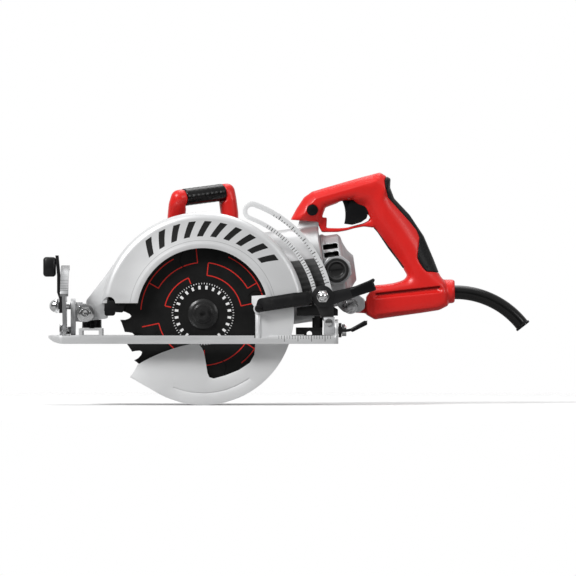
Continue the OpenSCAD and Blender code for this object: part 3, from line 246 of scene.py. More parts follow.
class FinishTree(NodeTree):
    """Node tree of one material, with short calls for the nodes that finishes use."""

    def __init__(self, name: str) -> None:
        """Starts a material with a Principled shader and its coordinates.

        Args:
            name: Name of the material.
        """
        self.material = bpy.data.materials.new(name)
        self.material.use_nodes = True
        super().__init__(self.material.node_tree)
        self.shader = self.nodes["Principled BSDF"]
        self.place = self.add("ShaderNodeTexCoord").outputs["Object"]
        self.x, self.y, self.z = self.split(self.place)

    def noise(self, scale: float, detail: float, place: NodeSocket | None = None) -> Number:
        """Adds a noise pattern from 0 to 1, with a scale in patches to the metre."""
        inputs = {0: place or self.place, "Scale": scale, "Detail": detail, "Roughness": NOISE_ROUGHNESS}
        return Number(self, self.add("ShaderNodeTexNoise", inputs=inputs).outputs[0])

    def cells(self, scale: float) -> Number:
        """Adds round cells, and gives the distance from the middle of each."""
        inputs = {"Vector": self.place, "Scale": scale}
        return Number(self, self.add("ShaderNodeTexVoronoi", inputs=inputs).outputs["Distance"])

    def along_grain(self, scale: Triple) -> NodeSocket:
        """Gives coordinates turned to the motor's slope and stretched along each axis."""
        inputs = {"Vector": self.place, "Rotation": (0.0, MOTOR_TILT, 0.0), "Scale": scale}
        return self.add("ShaderNodeMapping", {"vector_type": "POINT"}, inputs).outputs[0]

    def polar(self, across: Number, up: Number) -> tuple[Number, Number]:
        """Gives the distance from an axis, and the angle in degrees from across towards up."""
        return self.distance(across, up), self.math("ARCTAN2", up, across) * math.degrees(1)

    def about_arbor(self) -> tuple[Number, Number]:
        """Gives the distance from the arbor, and the angle in degrees from the rear upwards."""
        return self.polar(self.x, self.z - ARBOR.z)

    def along_motor(self) -> tuple[Number, Number, Number]:
        """Gives coordinates about the sloping motor's axis.

        Returns:
            The place along the axis, the height across it and the distance from it.
        """
        up = self.z - ARBOR.z
        along = self.x * math.cos(MOTOR_TILT) + up * math.sin(MOTOR_TILT)
        across = up * math.cos(MOTOR_TILT) - self.x * math.sin(MOTOR_TILT) - WORM_DISTANCE
        return along, across, self.distance(across, self.y - MOTOR_Y)

    def mix(self, share: Term, first: Any, second: Any) -> NodeSocket:
        """Mixes two colours or colour sockets by the share of the second."""
        node = self.add("ShaderNodeMix", {"data_type": "RGBA"}, {0: share, 6: first, 7: second})
        return node.outputs[2]

    def bump(self, height: Number, distance: float, strength: float = 1.0, under: Any = None) -> Any:
        """Adds a bump.

        Args:
            height: Height pattern.
            distance: Height in metres that a value of one stands for.
            strength: Strength of the bump.
            under: Normal of a bump below this one, if any.

        Returns:
            Normal socket.
        """
        inputs = {"Height": height, "Distance": distance, "Strength": strength}
        if under is not None:
            inputs["Normal"] = under
        return self.add("ShaderNodeBump", inputs=inputs).outputs[0]

    def finish(self, **sockets: Any) -> Material:
        """Feeds the shader.

        Args:
            sockets: Values of its sockets, named with underscores.

        Returns:
            The material.
        """
        for name, value in sockets.items():
            self.feed(self.shader.inputs[name.replace("_", " ").title().replace("Ior", "IOR")], value)
        return self.material


@dataclass(frozen=True)
class Ticks:
    """Row of equal marks: pitch and width along a scale, span across it, and start."""

    pitch: float
    width: float
    span: Span
    start: float = 0.0

    def mask(self, along: Number, across: Number) -> Number:
        """Masks the marks."""
        place = (along - self.start) % self.pitch
        return place.between(0.0, self.width) * across.between(*self.span)


class Scale(Enum):
    """Graduations of a piece, as rows of ticks: by angle on the first two, by length on the foot."""

    DEPTH_BRACKET = (
        Ticks(1.6, 0.32, mm(112.6, 116.2)),
        Ticks(8.0, 0.42, mm(110.8, 116.2)),
        Ticks(1.6, 0.32, mm(126.8, 129.6)),
        Ticks(8.0, 0.42, mm(126.8, 131.8)),
    )
    BEVEL_QUADRANT = (Ticks(2.0, 0.4, mm(68, 75)), Ticks(10.0, 0.55, mm(62, 75)))
    FOOT = (Ticks(3 * MM, 0.45 * MM, mm(5.4, 99)), Ticks(15 * MM, 0.6 * MM, mm(2.6, 99)))


class Edge(Enum):
    """Width of the rounding along a piece's edges."""

    SHARP = 0.0
    PIN = 0.3 * MM
    SMALL = 0.4 * MM
    LEVER = 0.5 * MM
    PLATE = 0.7 * MM
    COVER = 0.8 * MM
    TRIGGER = 1.0 * MM


@dataclass(frozen=True)
class CastPaint:
    """Silver-grey paint on a magnesium casting, with fine orange peel and a little flake."""

    name: str
    colour: Colour
    rough: float = 0.38
    metal: float = 0.35
    peel: float = 0.03 * MM
    tones: Span = (0.9, 1.06)

    def layers(self, tree: FinishTree) -> tuple[Any, Number, Any]:
        """Builds the paint's colour, roughness and bump.

        Args:
            tree: Node tree to build in.

        Returns:
            Colour, roughness and normal.
        """
        flake = tree.spread(tree.noise(5200, 1), 0.35, 0.65, 0.0, 0.4)
        shade = tree.spread(tree.noise(14, 2), 0.3, 0.7) * 0.6 + flake
        low, high = (toned(self.colour, tone) for tone in self.tones)
        rough = tree.noise(60, 4) * 0.16 + (self.rough - 0.08)
        return tree.mix(shade, low, high), rough, tree.bump(tree.noise(1400, 2), self.peel, 0.35)

    def material(self) -> Material:
        """Makes the plain paint.

        Returns:
            The material.
        """
        tree = FinishTree(self.name)
        colour, rough, normal = self.layers(tree)
        return tree.finish(base_color=colour, roughness=rough, metallic=self.metal, normal=normal)


@dataclass(frozen=True)
class GuardPaint(CastPaint):
    """Paint of the upper guard, with slanted dark bars, a faint rim line and painted shade, near black,
    on its inner faces.
    """

    bars: Ticks = Ticks(9.8, 4.508, mm(86, 103), 41.0)
    sweep: Span = (41.0, 139.0)
    slant: float = 330.0
    face_y: float = -15.5 * MM
    rim: Band = mm(81.6, 0.35)
    inner_shade_radius: float = 109.8 * MM
    inner_shade_y: Span = mm(-12.9, 15.8)
    inner_shade_x: float = -104.5 * MM

    def material(self) -> Material:
        """Makes the paint with its printed bars.

        Returns:
            The material.
        """
        tree = FinishTree(self.name)
        colour, rough, normal = self.layers(tree)
        radius, angle = tree.about_arbor()
        along = angle + (radius - self.bars.span[0]) * self.slant
        face = tree.y < self.face_y
        bars = self.bars.mask(along, radius) * along.between(*self.sweep) * face
        # Painted shade: the guard's inner faces are painted near black for the shade inside the guard.
        inside = (radius < self.inner_shade_radius) * tree.y.between(*self.inner_shade_y) * (tree.x > self.inner_shade_x)
        colour = tree.mix(radius.near(*self.rim) * face * 0.35, colour, grey(0.12))
        colour = tree.mix(bars, colour, grey(0.005))
        return tree.finish(
            base_color=tree.mix(inside, colour, grey(0.02)),
            roughness=rough + (bars + inside) * 0.14,
            metallic=self.metal * (1 - bars.either(inside)),
            specular_ior_level=0.3,
            normal=normal,
        )


@dataclass(frozen=True)
class BrightAlloy:
    """Bare bright die-cast alloy with faint flow marks, and painted shade inside it and over its louvred
    recess.
    """

    name: str
    colour: Colour
    rough: float = 0.33
    metal: float = 0.65
    tone: float = 0.82
    grain: Triple = (60.0, 900.0, 900.0)
    inside: float = 49.0 * MM
    inside_span: Span = mm(62, 139)
    recess_span: Span = mm(100, 138.5)
    recess_rise: Span = mm(-34, 16.7)
    recess_y: float = 40 * MM
    louvre_pitch: float = 6.2 * MM
    louvre_depth: float = 0.5 * MM

    def material(self) -> Material:
        """Makes the alloy.

        Returns:
            The material.
        """
        tree = FinishTree(self.name)
        marks = tree.noise(1.0, 3, tree.along_grain(self.grain))
        broad = tree.noise(22, 3)
        colour = tree.mix(marks * 0.45 + broad * 0.55, toned(self.colour, self.tone), self.colour)
        along, across, radius = tree.along_motor()
        # Painted shade: a dark grey patch over the motor's lower front, with louvre stripes painted
        # darker still.
        recess_shade = along.between(*self.recess_span) * across.between(*self.recess_rise)
        recess_shade = recess_shade * (tree.y < self.recess_y)
        louvre_bump_and_shade = recess_shade * ((across % self.louvre_pitch) < self.louvre_pitch * 0.5)
        # Painted shade: near black inside the housing, where it lies in shade.
        painted_shade = (radius < self.inside) * along.between(*self.inside_span)
        painted_shade = painted_shade.either(louvre_bump_and_shade * 0.5)
        colour = tree.mix(recess_shade, colour, grey(0.12))
        under = tree.bump(marks, 0.012 * MM, 0.2)
        return tree.finish(
            base_color=tree.mix(painted_shade, colour, grey(0.008)),
            roughness=marks * 0.1 + broad * 0.1 + (self.rough - 0.1) + painted_shade * 0.3,
            metallic=self.metal * (1 - painted_shade),
            normal=tree.bump(1 - louvre_bump_and_shade, self.louvre_depth, 0.5, under),
        )


@dataclass(frozen=True)
class SandCast:
    """Grey casting left as it came, with a fine grainy skin, and painted shade inside it and across its
    vents.
    """

    name: str
    colour: Colour
    rough: float = 0.42
    metal: float = 0.4
    tone: float = 0.72
    grain: float = 0.08 * MM
    inside: float = 37.4 * MM
    inside_span: Span = mm(132, 171.5)
    taper_from: float = 156 * MM
    taper: float = 1.5
    shaded_vents: tuple[float, ...] = mm(18, 27)
    vent_half: float = 2.75 * MM
    vent_span: Span = mm(142.3, 158.7)

    def material(self) -> Material:
        """Makes the casting's skin.

        Returns:
            The material.
        """
        tree = FinishTree(self.name)
        grain = tree.noise(1700, 3)
        broad = tree.noise(30, 3)
        colour = tree.mix(broad * 0.7 + grain * 0.3, toned(self.colour, self.tone), self.colour)
        along, across, radius = tree.along_motor()
        taper = (along - self.taper_from).either(0.0) * self.taper
        # Painted shade: near black inside the end housing and across its vent bands, where shade falls.
        painted_shade = ((radius + taper) < self.inside) * along.between(*self.inside_span)
        shaded_vents = reduce(Number.either, (across.near(vent, self.vent_half) for vent in self.shaded_vents))
        painted_shade = painted_shade.either(shaded_vents * along.between(*self.vent_span))
        return tree.finish(
            base_color=tree.mix(painted_shade, colour, grey(0.006)),
            roughness=grain * 0.18 + (self.rough - 0.05) + painted_shade * 0.4,
            metallic=self.metal * (1 - painted_shade),
            normal=tree.bump(grain, self.grain, 0.4),
        )


@dataclass(frozen=True)
class MouldedPlastic:
    """Moulded plastic with a fine eroded grain and a soft shine."""

    name: str
    colour: Colour
    rough: float = 0.34
    grain: float = 0.012 * MM
    shine: float = 0.06
    gloss: float = 0.5
    tone: float = 0.9

    def shaped(self, tree: FinishTree, colour: Any) -> tuple[Any, Any]:
        """Gives the colour, and the normal below the grain or none: here the plain colour alone."""
        return colour, None

    def material(self) -> Material:
        """Makes the plastic.

        Returns:
            The material.
        """
        tree = FinishTree(self.name)
        grain = tree.noise(2600, 2)
        broad = tree.noise(18, 3)
        colour = tree.mix(tree.spread(broad, 0.3, 0.7), toned(self.colour, self.tone), self.colour)
        colour, under = self.shaped(tree, colour)
        return tree.finish(
            base_color=colour,
            roughness=grain * 0.12 + broad * 0.08 + (self.rough - 0.1),
            specular_ior_level=self.gloss,
            coat_weight=self.shine,
            coat_roughness=0.25,
            normal=tree.bump(grain, self.grain, 0.4, under),
        )


@dataclass(frozen=True)
class HandleForm:
    """Relief of the rear handle's sides: a chamfered top, a rounded grip and a grooved low bar."""

    half: float = 18 * MM
    brow: Point = mm(120, 168.7)
    brow_slope: float = math.radians(16.25)
    nose_slope: float = math.radians(51.7)
    chamfer: Ramp = mm(0.8, 8.6, -4.6, 0.0)
    fall: Ramp = mm(9.5, 27, 0.0, 1.4)
    top_end: Span = mm(188, 202)
    grip_at: Point = mm(200.7, 153.9)
    grip_slope: float = math.radians(28.7)
    grip_half: float = 15 * MM
    grip_round: float = 3.6 * MM
    grip_limit: float = 1.6
    grip_foot: Span = mm(64, 80)
    grip_head: Span = mm(20, 34)
    groove_at: Point = mm(188.5, 54.2)
    groove_slope: float = 0.113
    groove_floor: Span = mm(-0.9, 1.5)
    groove_flank: Ramp = mm(-4.9, -0.9, 0.0, 2.6)
    groove_lip: Span = mm(0.9, 1.7)
    groove_start: Span = mm(192, 194)
    groove_end: Span = mm(261, 264)
    keel: Ramp = mm(-27, -22, -3.8, 0.0)
    keel_start: Span = mm(188, 196)

    def over_groove(self, x: Number, z: Number) -> Number:
        """Gives the height over the groove's middle line."""
        return z - self.groove_at[1] - (x - self.groove_at[0]) * self.groove_slope

    def groove(self, x: Number, z: Number) -> Number:
        """Masks the groove along the low bar."""
        inside = self.over_groove(x, z).between(*self.groove_floor)
        return inside * x.between(self.groove_start[0], self.groove_end[1])

    def relief(self, tree: NodeTree, x: Number, z: Number) -> Number:
        """Gives how far the sides stand out from their full width, which is zero or less.

        Args:
            tree: Node tree to build in.
            x: Place along the saw.
            z: Height over the sole.

        Returns:
            Relief in metres.
        """
        out, up = x - self.brow[0], z - self.brow[1]
        below = out * math.sin(self.brow_slope) - up * math.cos(self.brow_slope)
        behind = out * math.sin(self.nose_slope) - up * math.cos(self.nose_slope)
        depth = tree.math("MINIMUM", below, behind)
        top = tree.spread(depth, *self.chamfer)
        top = top - tree.spread(depth, *self.fall, True)
        top = top * tree.spread(x, *self.top_end, 1.0, 0.0, True)
        side = (x - self.grip_at[0]) * math.cos(self.grip_slope)
        side = (side + (z - self.grip_at[1]) * math.sin(self.grip_slope)) / self.grip_half
        grip = tree.math("MINIMUM", side * side, self.grip_limit) * -self.grip_round
        grip = grip * tree.spread(z, *self.grip_foot, eased=True)
        grip = grip * tree.spread(below, *self.grip_head, eased=True)
        over = self.over_groove(x, z)
        under = tree.spread(over, *self.keel)
        under = under * tree.spread(x, *self.keel_start, eased=True)
        groove = tree.spread(over, *self.groove_flank)
        groove = groove * tree.spread(over, *self.groove_lip, 1.0, 0.0)
        groove = groove * tree.spread(x, *self.groove_start)
        groove = groove * tree.spread(x, *self.groove_end, 1.0, 0.0)
        return top + grip + under - groove


@dataclass(frozen=True)
class HandlePlastic(MouldedPlastic):
    """Plastic of the rear handle, with painted shade in the groove along its low bar."""

    form: HandleForm = HandleForm()
    groove_shade_tone: float = 0.25

    def shaped(self, tree: FinishTree, colour: Any) -> tuple[Any, Any]:
        """Paints shade into the groove, and gives no normal."""
        # Painted shade: the groove is darkened to a quarter of the red.
        dark = toned(self.colour, self.groove_shade_tone)
        return tree.mix(self.form.groove(tree.x, tree.z), colour, dark), None


@dataclass(frozen=True)
class CapPlastic(MouldedPlastic):
    """Plastic of the brush caps: dished inside a ring painted lighter as a highlight."""

    centre: float = 153.7 * MM
    dish: Ramp = mm(6.8, 9.4, 0.0, 1.6)
    ring: Band = mm(9.9, 0.55)

    def shaped(self, tree: FinishTree, colour: Any) -> tuple[Any, Any]:
        """Adds the dish as a bump, and paints a highlight on the ring round it.

        Args:
            tree: Node tree to build in.
            colour: Colour of the plain plastic.

        Returns:
            Colour and normal.
        """
        along, across, _ = tree.along_motor()
        radius = tree.distance(along - self.centre, across)
        height = tree.spread(radius, *self.dish, True)
        # Painted highlight: the ring round the dish is a lighter grey.
        return tree.mix(radius.near(*self.ring), colour, grey(0.05)), tree.bump(height, 1.0)


@dataclass(frozen=True)
class GripRubber:
    """Soft black rubber, with small pips where a hand holds it."""

    name: str
    colour: Colour = (0.005, 0.005, 0.0055, 1.0)
    rough: float = 0.42
    gloss: float = 0.22
    dusty: float = 1.9
    pips: float = 0.0
    pip_pitch: float = 2.2 * MM
    pip_reach: float = 0.42

    def material(self) -> Material:
        """Makes the rubber.

        Returns:
            The material.
        """
        tree = FinishTree(self.name)
        dust = tree.noise(40, 4)
        normal = tree.bump(tree.noise(2400, 2), 0.02 * MM, 0.4)
        if self.pips:
            dome = tree.spread(tree.cells(1 / self.pip_pitch), 0.0, self.pip_reach, 1.0, 0.0)
            normal = tree.bump(dome, self.pips, 0.7, normal)
        pale = grey(self.colour[1] * self.dusty)
        return tree.finish(
            base_color=tree.mix(tree.spread(dust, 0.4, 0.75), self.colour, pale),
            roughness=dust * 0.2 + (self.rough - 0.1),
            specular_ior_level=self.gloss,
            normal=normal,
        )


@dataclass(frozen=True)
class TurnedSteel:
    """Zinc-bright or polished steel, or bronze, of screws, pins, shafts and wheels."""

    name: str
    colour: Colour
    rough: float = 0.22
    tone: float = 0.78

    def material(self) -> Material:
        """Makes the metal.

        Returns:
            The material.
        """
        tree = FinishTree(self.name)
        marks = tree.noise(900, 3)
        stain = tree.noise(120, 3)
        shade = stain * 0.6 + marks * 0.4
        return tree.finish(
            base_color=tree.mix(shade, toned(self.colour, self.tone), self.colour),
            roughness=stain * 0.14 + (self.rough - 0.06),
            metallic=1.0,
            normal=tree.bump(marks, 0.015 * MM, 0.3),
        )


@dataclass(frozen=True)
class BlackOxide:
    """Black coated steel, a little grey where it is rubbed."""

    name: str
    colour: Colour = (0.007, 0.007, 0.0075, 1.0)
    rough: float = 0.34
    grain: float = 0.04 * MM

    def material(self) -> Material:
        """Makes the coating.

        Returns:
            The material.
        """
        tree = FinishTree(self.name)
        rubbed = tree.spread(tree.noise(70, 4), 0.52, 0.78)
        grain = tree.noise(1800, 2)
        return tree.finish(
            base_color=tree.mix(rubbed * 0.5, self.colour, grey(0.025)),
            roughness=rubbed * 0.12 + grain * 0.1 + (self.rough - 0.05),
            specular_ior_level=0.35,
            normal=tree.bump(grain, self.grain, 0.35),
        )


@dataclass(frozen=True)
class LeverCoat(BlackOxide):
    """Black coat of the depth lever, with the bright dome nut at its hub."""

    hub: Point = mm(132.754, 52.598)
    nut: float = 8.2 * MM
    nut_y: float = -13.3 * MM

    def material(self) -> Material:
        """Makes the coat with the nut.

        Returns:
            The material.
        """
        tree = FinishTree(self.name)
        radius = tree.distance(tree.x - self.hub[0], tree.z - self.hub[1])
        bright = (radius < self.nut) * (tree.y < self.nut_y)
        grain = tree.noise(1800, 2)
        return tree.finish(
            base_color=tree.mix(bright, self.colour, grey(0.84)),
            roughness=grain * 0.1 + (self.rough - 0.05) - bright * 0.2,
            metallic=bright,
            normal=tree.bump(grain, self.grain, 0.3),
        )


@dataclass(frozen=True)
class BladeCoat:
    """Black anti-stick coat on the blade, with red lines, pale ticks, cut slots and bright tips.

    A ring is given by its radius and its two bearings, a spoke by its bearing and its two radii,
    in millimetres and degrees.
    """

    name: str = "blade_coat"
    red: Colour = (0.62, 0.028, 0.02, 1.0)
    rough: float = 0.26
    line: float = 1.1 * MM
    rings: tuple[Triple, ...] = (
        (43, 12, 84), (43, 112, 168), (57, 30, 84), (57, 96, 150),
        (69, -52, 66), (69, 118, 176), (50, -168, -104), (57, -88, -34),
    )
    spokes: tuple[Triple, ...] = (
        (12, 43, 57), (30, 57, 69), (84, 43, 57), (96, 57, 73), (112, 36, 43), (150, 57, 69),
        (168, 36, 43), (-34, 57, 69), (-88, 40, 57), (-104, 50, 66), (-168, 50, 69),
    )
    dashes: Ticks = Ticks(15.0, 5.0, mm(27.5, 31.5), 5.0)
    dots: Ticks = Ticks(5.0, 1.2, mm(33, 34.6), 1.9)
    slots: Ticks = Ticks(90.0, 1.1, mm(54, 79), 19.45)
    slot_wave: float = 180.0
    slot_swing: float = 4.0
    slot_depth: float = 0.6 * MM
    tips: float = 90.4 * MM

    def material(self) -> Material:
        """Makes the coat and its plain print.

        Returns:
            The material.
        """
        tree = FinishTree(self.name)
        radius, angle = tree.about_arbor()
        swirl = tree.noise(1.0, 3, tree.vector(radius * 1600, angle * 0.05, 0.0))
        ticks = self.dashes.mask(angle, radius).either(self.dots.mask(angle, radius))
        bend = angle + tree.math("SINE", radius * self.slot_wave) * self.slot_swing
        cut = self.slots.mask(bend, radius)
        tips = radius > self.tips
        colour = tree.mix(tree.spread(tree.noise(45, 4), 0.35, 0.8), grey(0.007), grey(0.013))
        colour = tree.mix(self.lines(radius, angle), colour, self.red)
        colour = tree.mix(ticks, colour, grey(0.78))
        colour = tree.mix(cut, colour, grey(0.002))
        return tree.finish(
            base_color=tree.mix(tips, colour, grey(0.2)),
            roughness=swirl * 0.16 + self.rough,
            metallic=tips * 0.8,
            specular_ior_level=0.22,
            normal=tree.bump(1 - cut, self.slot_depth, 0.8, tree.bump(swirl, 0.01 * MM, 0.3)),
        )

    def lines(self, radius: Number, angle: Number) -> Number:
        """Draws the print: broken rings joined by spokes.

        Args:
            radius: Distance from the arbor.
            angle: Angle about it in degrees.

        Returns:
            Mask of the lines.
        """
        half = self.line / 2
        reach = radius * math.radians(1)
        lines = [radius.near(at * MM, half) * angle.between(*ends) for at, *ends in self.rings]
        for bearing, *ends in self.spokes:
            lines.append(((angle - bearing) * reach).near(0.0, half) * radius.between(*mm(*ends)))
        return reduce(Number.either, lines)


@dataclass(frozen=True)
class ScaleSteel(CastPaint):
    """Bright plate with fine dark graduations, on one of three pieces."""

    rough: float = 0.34
    metal: float = 0.45
    layout: Scale = Scale.FOOT
    bracket_at: Point = mm(13.1, 31.5)
    bracket_sweep: Span = (16.0, 60.0)
    bracket_y: float = 5.4 * MM
    bracket_shade: Span = mm(42, 50)
    quadrant_z: float = 15 * MM
    quadrant_sweep: Span = (88.0, 143.0)
    foot_span: Span = mm(84, 144)
    foot_y: float = -31.5 * MM
    mark_depth: float = 0.15 * MM

    def graduations(self, tree: FinishTree) -> Number:
        """Draws the graduations that suit the piece, and painted shade on the bracket's lower end.

        Args:
            tree: Node tree to build in.

        Returns:
            Mask of the marks.
        """
        if self.layout is Scale.DEPTH_BRACKET:
            across, along = tree.polar(tree.x - self.bracket_at[0], tree.z - self.bracket_at[1])
            shown = along.between(*self.bracket_sweep) * (tree.y < self.bracket_y)
        elif self.layout is Scale.BEVEL_QUADRANT:
            across, along = tree.polar(tree.y, tree.z - self.quadrant_z)
            shown = along.between(*self.quadrant_sweep)
        else:
            across, along = tree.z, tree.x
            shown = along.between(*self.foot_span) * (tree.y < self.foot_y)
        rows = (ticks.mask(along, across) for ticks in self.layout.value)
        marks = reduce(Number.either, rows) * shown
        # Painted shade: the bracket goes near black towards its lower end.
        if self.layout is Scale.DEPTH_BRACKET:
            marks = marks.either(tree.spread(tree.z, *self.bracket_shade, 0.97, 0.0, True))
        return marks

    def material(self) -> Material:
        """Makes the plate.

        Returns:
            The material.
        """
        tree = FinishTree(self.name)
        colour, rough, normal = self.layers(tree)
        marks = self.graduations(tree)
        return tree.finish(
            base_color=tree.mix(marks, colour, grey(0.015)),
            roughness=rough + marks * 0.15,
            metallic=self.metal * (1 - marks),
            normal=tree.bump(1 - marks, self.mark_depth, 0.5, normal),
        )


@dataclass(frozen=True)
class WoundCopper:
    """Lacquered copper windings between steel laminations."""

    name: str = "lacquered_winding"
    dark: Colour = (0.16, 0.06, 0.025, 1.0)
    bright: Colour = (0.52, 0.23, 0.09, 1.0)
    grain: Triple = (2200.0, 120.0, 120.0)

    def material(self) -> Material:
        """Makes the windings.

        Returns:
            The material.
        """
        tree = FinishTree(self.name)
        turns = tree.noise(1.0, 1, tree.along_grain(self.grain))
        return tree.finish(
            base_color=tree.mix(turns, self.dark, self.bright),
            roughness=turns * 0.2 + 0.3,
            metallic=0.8,
            normal=tree.bump(turns, 0.2 * MM, 0.5),
        )


@dataclass
class Softener:
    """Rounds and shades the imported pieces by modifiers, without touching their meshes."""

    smooth_angle: float = math.radians(32)
    edge_angle: float = math.radians(38)
    edge_steps: int = 2
    weld_gap: float = 0.004 * MM
    pass_strength: float = 0.5
    form: HandleForm = HandleForm()

    def __post_init__(self) -> None:
        """Makes the node groups that shade by angle and give the handle its relief, once."""
        self.shade = self.shade_group()
        self.relief = self.relief_group()

    def group(self, name: str) -> tuple[bpy.types.NodeTree, NodeTree, NodeSocket]:
        """Starts a geometry node group.

        Args:
            name: Name of the group.

        Returns:
            The group, its tree and the geometry that comes in.
        """
        group = bpy.data.node_groups.new(name, "GeometryNodeTree")
        for way in ("INPUT", "OUTPUT"):
            group.interface.new_socket("Geometry", in_out=way, socket_type="NodeSocketGeometry")
        tree = NodeTree(group)
        return group, tree, tree.add("NodeGroupInput").outputs[0]

    def relief_group(self) -> bpy.types.NodeTree:
        """Makes a group that draws the handle's sides in by its relief.

        Returns:
            The node group.
        """
        group, tree, start = self.group("handle_relief")
        x, y, z = tree.split(tree.add("GeometryNodeInputPosition").outputs[0])
        push = self.form.relief(tree, x, z) * (y - MOTOR_Y) / self.form.half
        inputs = {"Geometry": start, "Offset": tree.vector(0.0, push, 0.0)}
        moved = tree.add("GeometryNodeSetPosition", inputs=inputs)
        tree.add("NodeGroupOutput", inputs={0: moved.outputs[0]})
        return group

    def shade_group(self) -> bpy.types.NodeTree:
        """Makes a group that shades faces smooth and keeps edges past an angle sharp.

        Returns:
            The node group.
        """
        group, tree, start = self.group("shade_by_angle")
        inputs = {"Name": "custom_normal", "Geometry": start}
        bare = tree.add("GeometryNodeRemoveAttribute", inputs=inputs)
        between = tree.add("GeometryNodeInputMeshEdgeAngle")
        settings = {"data_type": "FLOAT", "operation": "LESS_EQUAL"}
        inputs = {0: between.outputs[0], 1: self.smooth_angle}
        limit = tree.add("FunctionNodeCompare", settings, inputs)
        faces = tree.add("GeometryNodeSetShadeSmooth", {"domain": "FACE"}, {0: bare.outputs[0]})
        inputs = {0: faces.outputs[0], "Shade Smooth": limit.outputs[0]}
        edges = tree.add("GeometryNodeSetShadeSmooth", {"domain": "EDGE"}, inputs)
        tree.add("NodeGroupOutput", inputs={0: edges.outputs[0]})
        return group

    def carved(self, piece: Object) -> None:
        """Gives a piece of the rear handle its relief."""
        piece.modifiers.new("relief", "NODES").node_group = self.relief

    def shaded(self, piece: Object) -> None:
        """Adds the shading by angle."""
        piece.modifiers.new("shade", "NODES").node_group = self.shade

    def welded(self, piece: Object) -> None:
        """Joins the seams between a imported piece's faces."""
        piece.modifiers.new("weld", "WELD").merge_threshold = self.weld_gap

    def edged(self, piece: Object, edge: Edge) -> None:
        """Rounds a piece's sharp edges.

        Args:
            piece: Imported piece.
            edge: Width of the rounding.
        """
        self.welded(piece)
        if edge is not Edge.SHARP:
            bevel = piece.modifiers.new("edges", "BEVEL")
            bevel.width = edge.value
            bevel.segments = self.edge_steps
            bevel.limit_method = "ANGLE"
            bevel.angle_limit = self.edge_angle
            bevel.use_clamp_overlap = True
            bevel.miter_outer = "MITER_ARC"
        self.shaded(piece)

    def cast(self, piece: Object, voxel: float, passes: int) -> None:
        """Rounds a casting or moulding all over.

        Args:
            piece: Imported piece.
            voxel: Size of the new faces in metres.
            passes: Smoothing passes.
        """
        self.welded(piece)
        remesh = piece.modifiers.new("skin", "REMESH")
        remesh.mode = "VOXEL"
        remesh.voxel_size = voxel
        remesh.use_smooth_shade = True
        smooth = piece.modifiers.new("rounding", "SMOOTH")
        smooth.factor = self.pass_strength
        smooth.iterations = passes


@dataclass(frozen=True)
class Block:
    """A rounded block: its size, middle, rounding, slope about Y, front taper and rear undercut."""

    size: tuple[float, ...]
    place: tuple[float, ...]
    rounding: float
    slope: float = 0.0
    front: float = 1.0
    undercut: float = 0.0
    steps: int = 4

    def mesh(self) -> BMesh:
        """Makes the block with bmesh operators.

        Returns:
            The bmesh.
        """
        mesh = bmesh.new()
        bmesh.ops.create_cube(mesh, size=1.0)
        bmesh.ops.scale(mesh, verts=mesh.verts, vec=self.size)
        front = [v for v in mesh.verts if v.co.x < 0.0]
        bmesh.ops.scale(mesh, verts=front, vec=(1.0, 1.0, self.front))
        low = [v for v in mesh.verts if v.co.x > 0.0 and v.co.z < 0.0]
        bmesh.ops.translate(mesh, verts=low, vec=(-self.undercut, 0.0, 0.0))
        bmesh.ops.bevel(
            mesh, geom=mesh.edges[:], offset=self.rounding, offset_type="OFFSET",
            segments=self.steps, profile=0.5, affect="EDGES", material=-1,
        )
        slope = Matrix.Rotation(self.slope, 4, "Y")
        bmesh.ops.rotate(mesh, verts=mesh.verts, cent=(0, 0, 0), matrix=slope)
        bmesh.ops.translate(mesh, verts=mesh.verts, vec=self.place)
        return mesh


@cache
def material_of(recipe: Any) -> Material:
    """Makes a finish once, and gives it again for later pieces."""
    return recipe.material()


@dataclass
class Workshop:
    """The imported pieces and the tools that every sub-assembly shares."""

    nodes: dict[str, Object]
    softener: Softener = field(default_factory=Softener)
    trim_gap: float = 0.001 * MM

    def dressed(self, recipe: Any, names: Iterable[str]) -> list[Object]:
        """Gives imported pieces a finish.

        Args:
            recipe: Finish.
            names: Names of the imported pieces.

        Returns:
            The pieces.
        """
        material = material_of(recipe)
        for name in names:
            slots = self.nodes[name].data.materials
            slots.clear()
            slots.append(material)
            LOG.info("finish %s on %s", recipe.name, name)
        return [self.nodes[name] for name in names]

    def edged(self, recipe: Any, edge: Edge, *names: str) -> None:
        """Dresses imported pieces, and rounds their edges."""
        for piece in self.dressed(recipe, names):
            self.softener.edged(piece, edge)

    def cast(self, recipe: Any, voxel: float, passes: int, *names: str) -> None:
        """Dresses imported castings or mouldings, and rounds them all over."""
        for piece in self.dressed(recipe, names):
            self.softener.cast(piece, voxel, passes)

    def trim(self, name: str, recipe: Any, body: str, slot: str, *meshes: BMesh) -> None:
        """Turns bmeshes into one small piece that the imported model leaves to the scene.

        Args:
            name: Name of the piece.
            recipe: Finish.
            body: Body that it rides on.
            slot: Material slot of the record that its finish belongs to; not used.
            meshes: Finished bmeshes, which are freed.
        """
        data = bpy.data.meshes.new(name)
        whole = bmesh.new()
        for mesh in meshes:
            mesh.to_mesh(data)
            mesh.free()
            whole.from_mesh(data)
        bmesh.ops.remove_doubles(whole, verts=whole.verts, dist=self.trim_gap)
        bmesh.ops.recalc_face_normals(whole, faces=whole.faces)
        whole.to_mesh(data)
        whole.free()
        data.materials.append(material_of(recipe))
        made = bpy.data.objects.new(name, data)
        bpy.context.scene.collection.objects.link(made)
        self.softener.shaded(made)
        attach(made, body)
        LOG.info("piece %s: %d faces on %s", name, len(data.polygons), body)


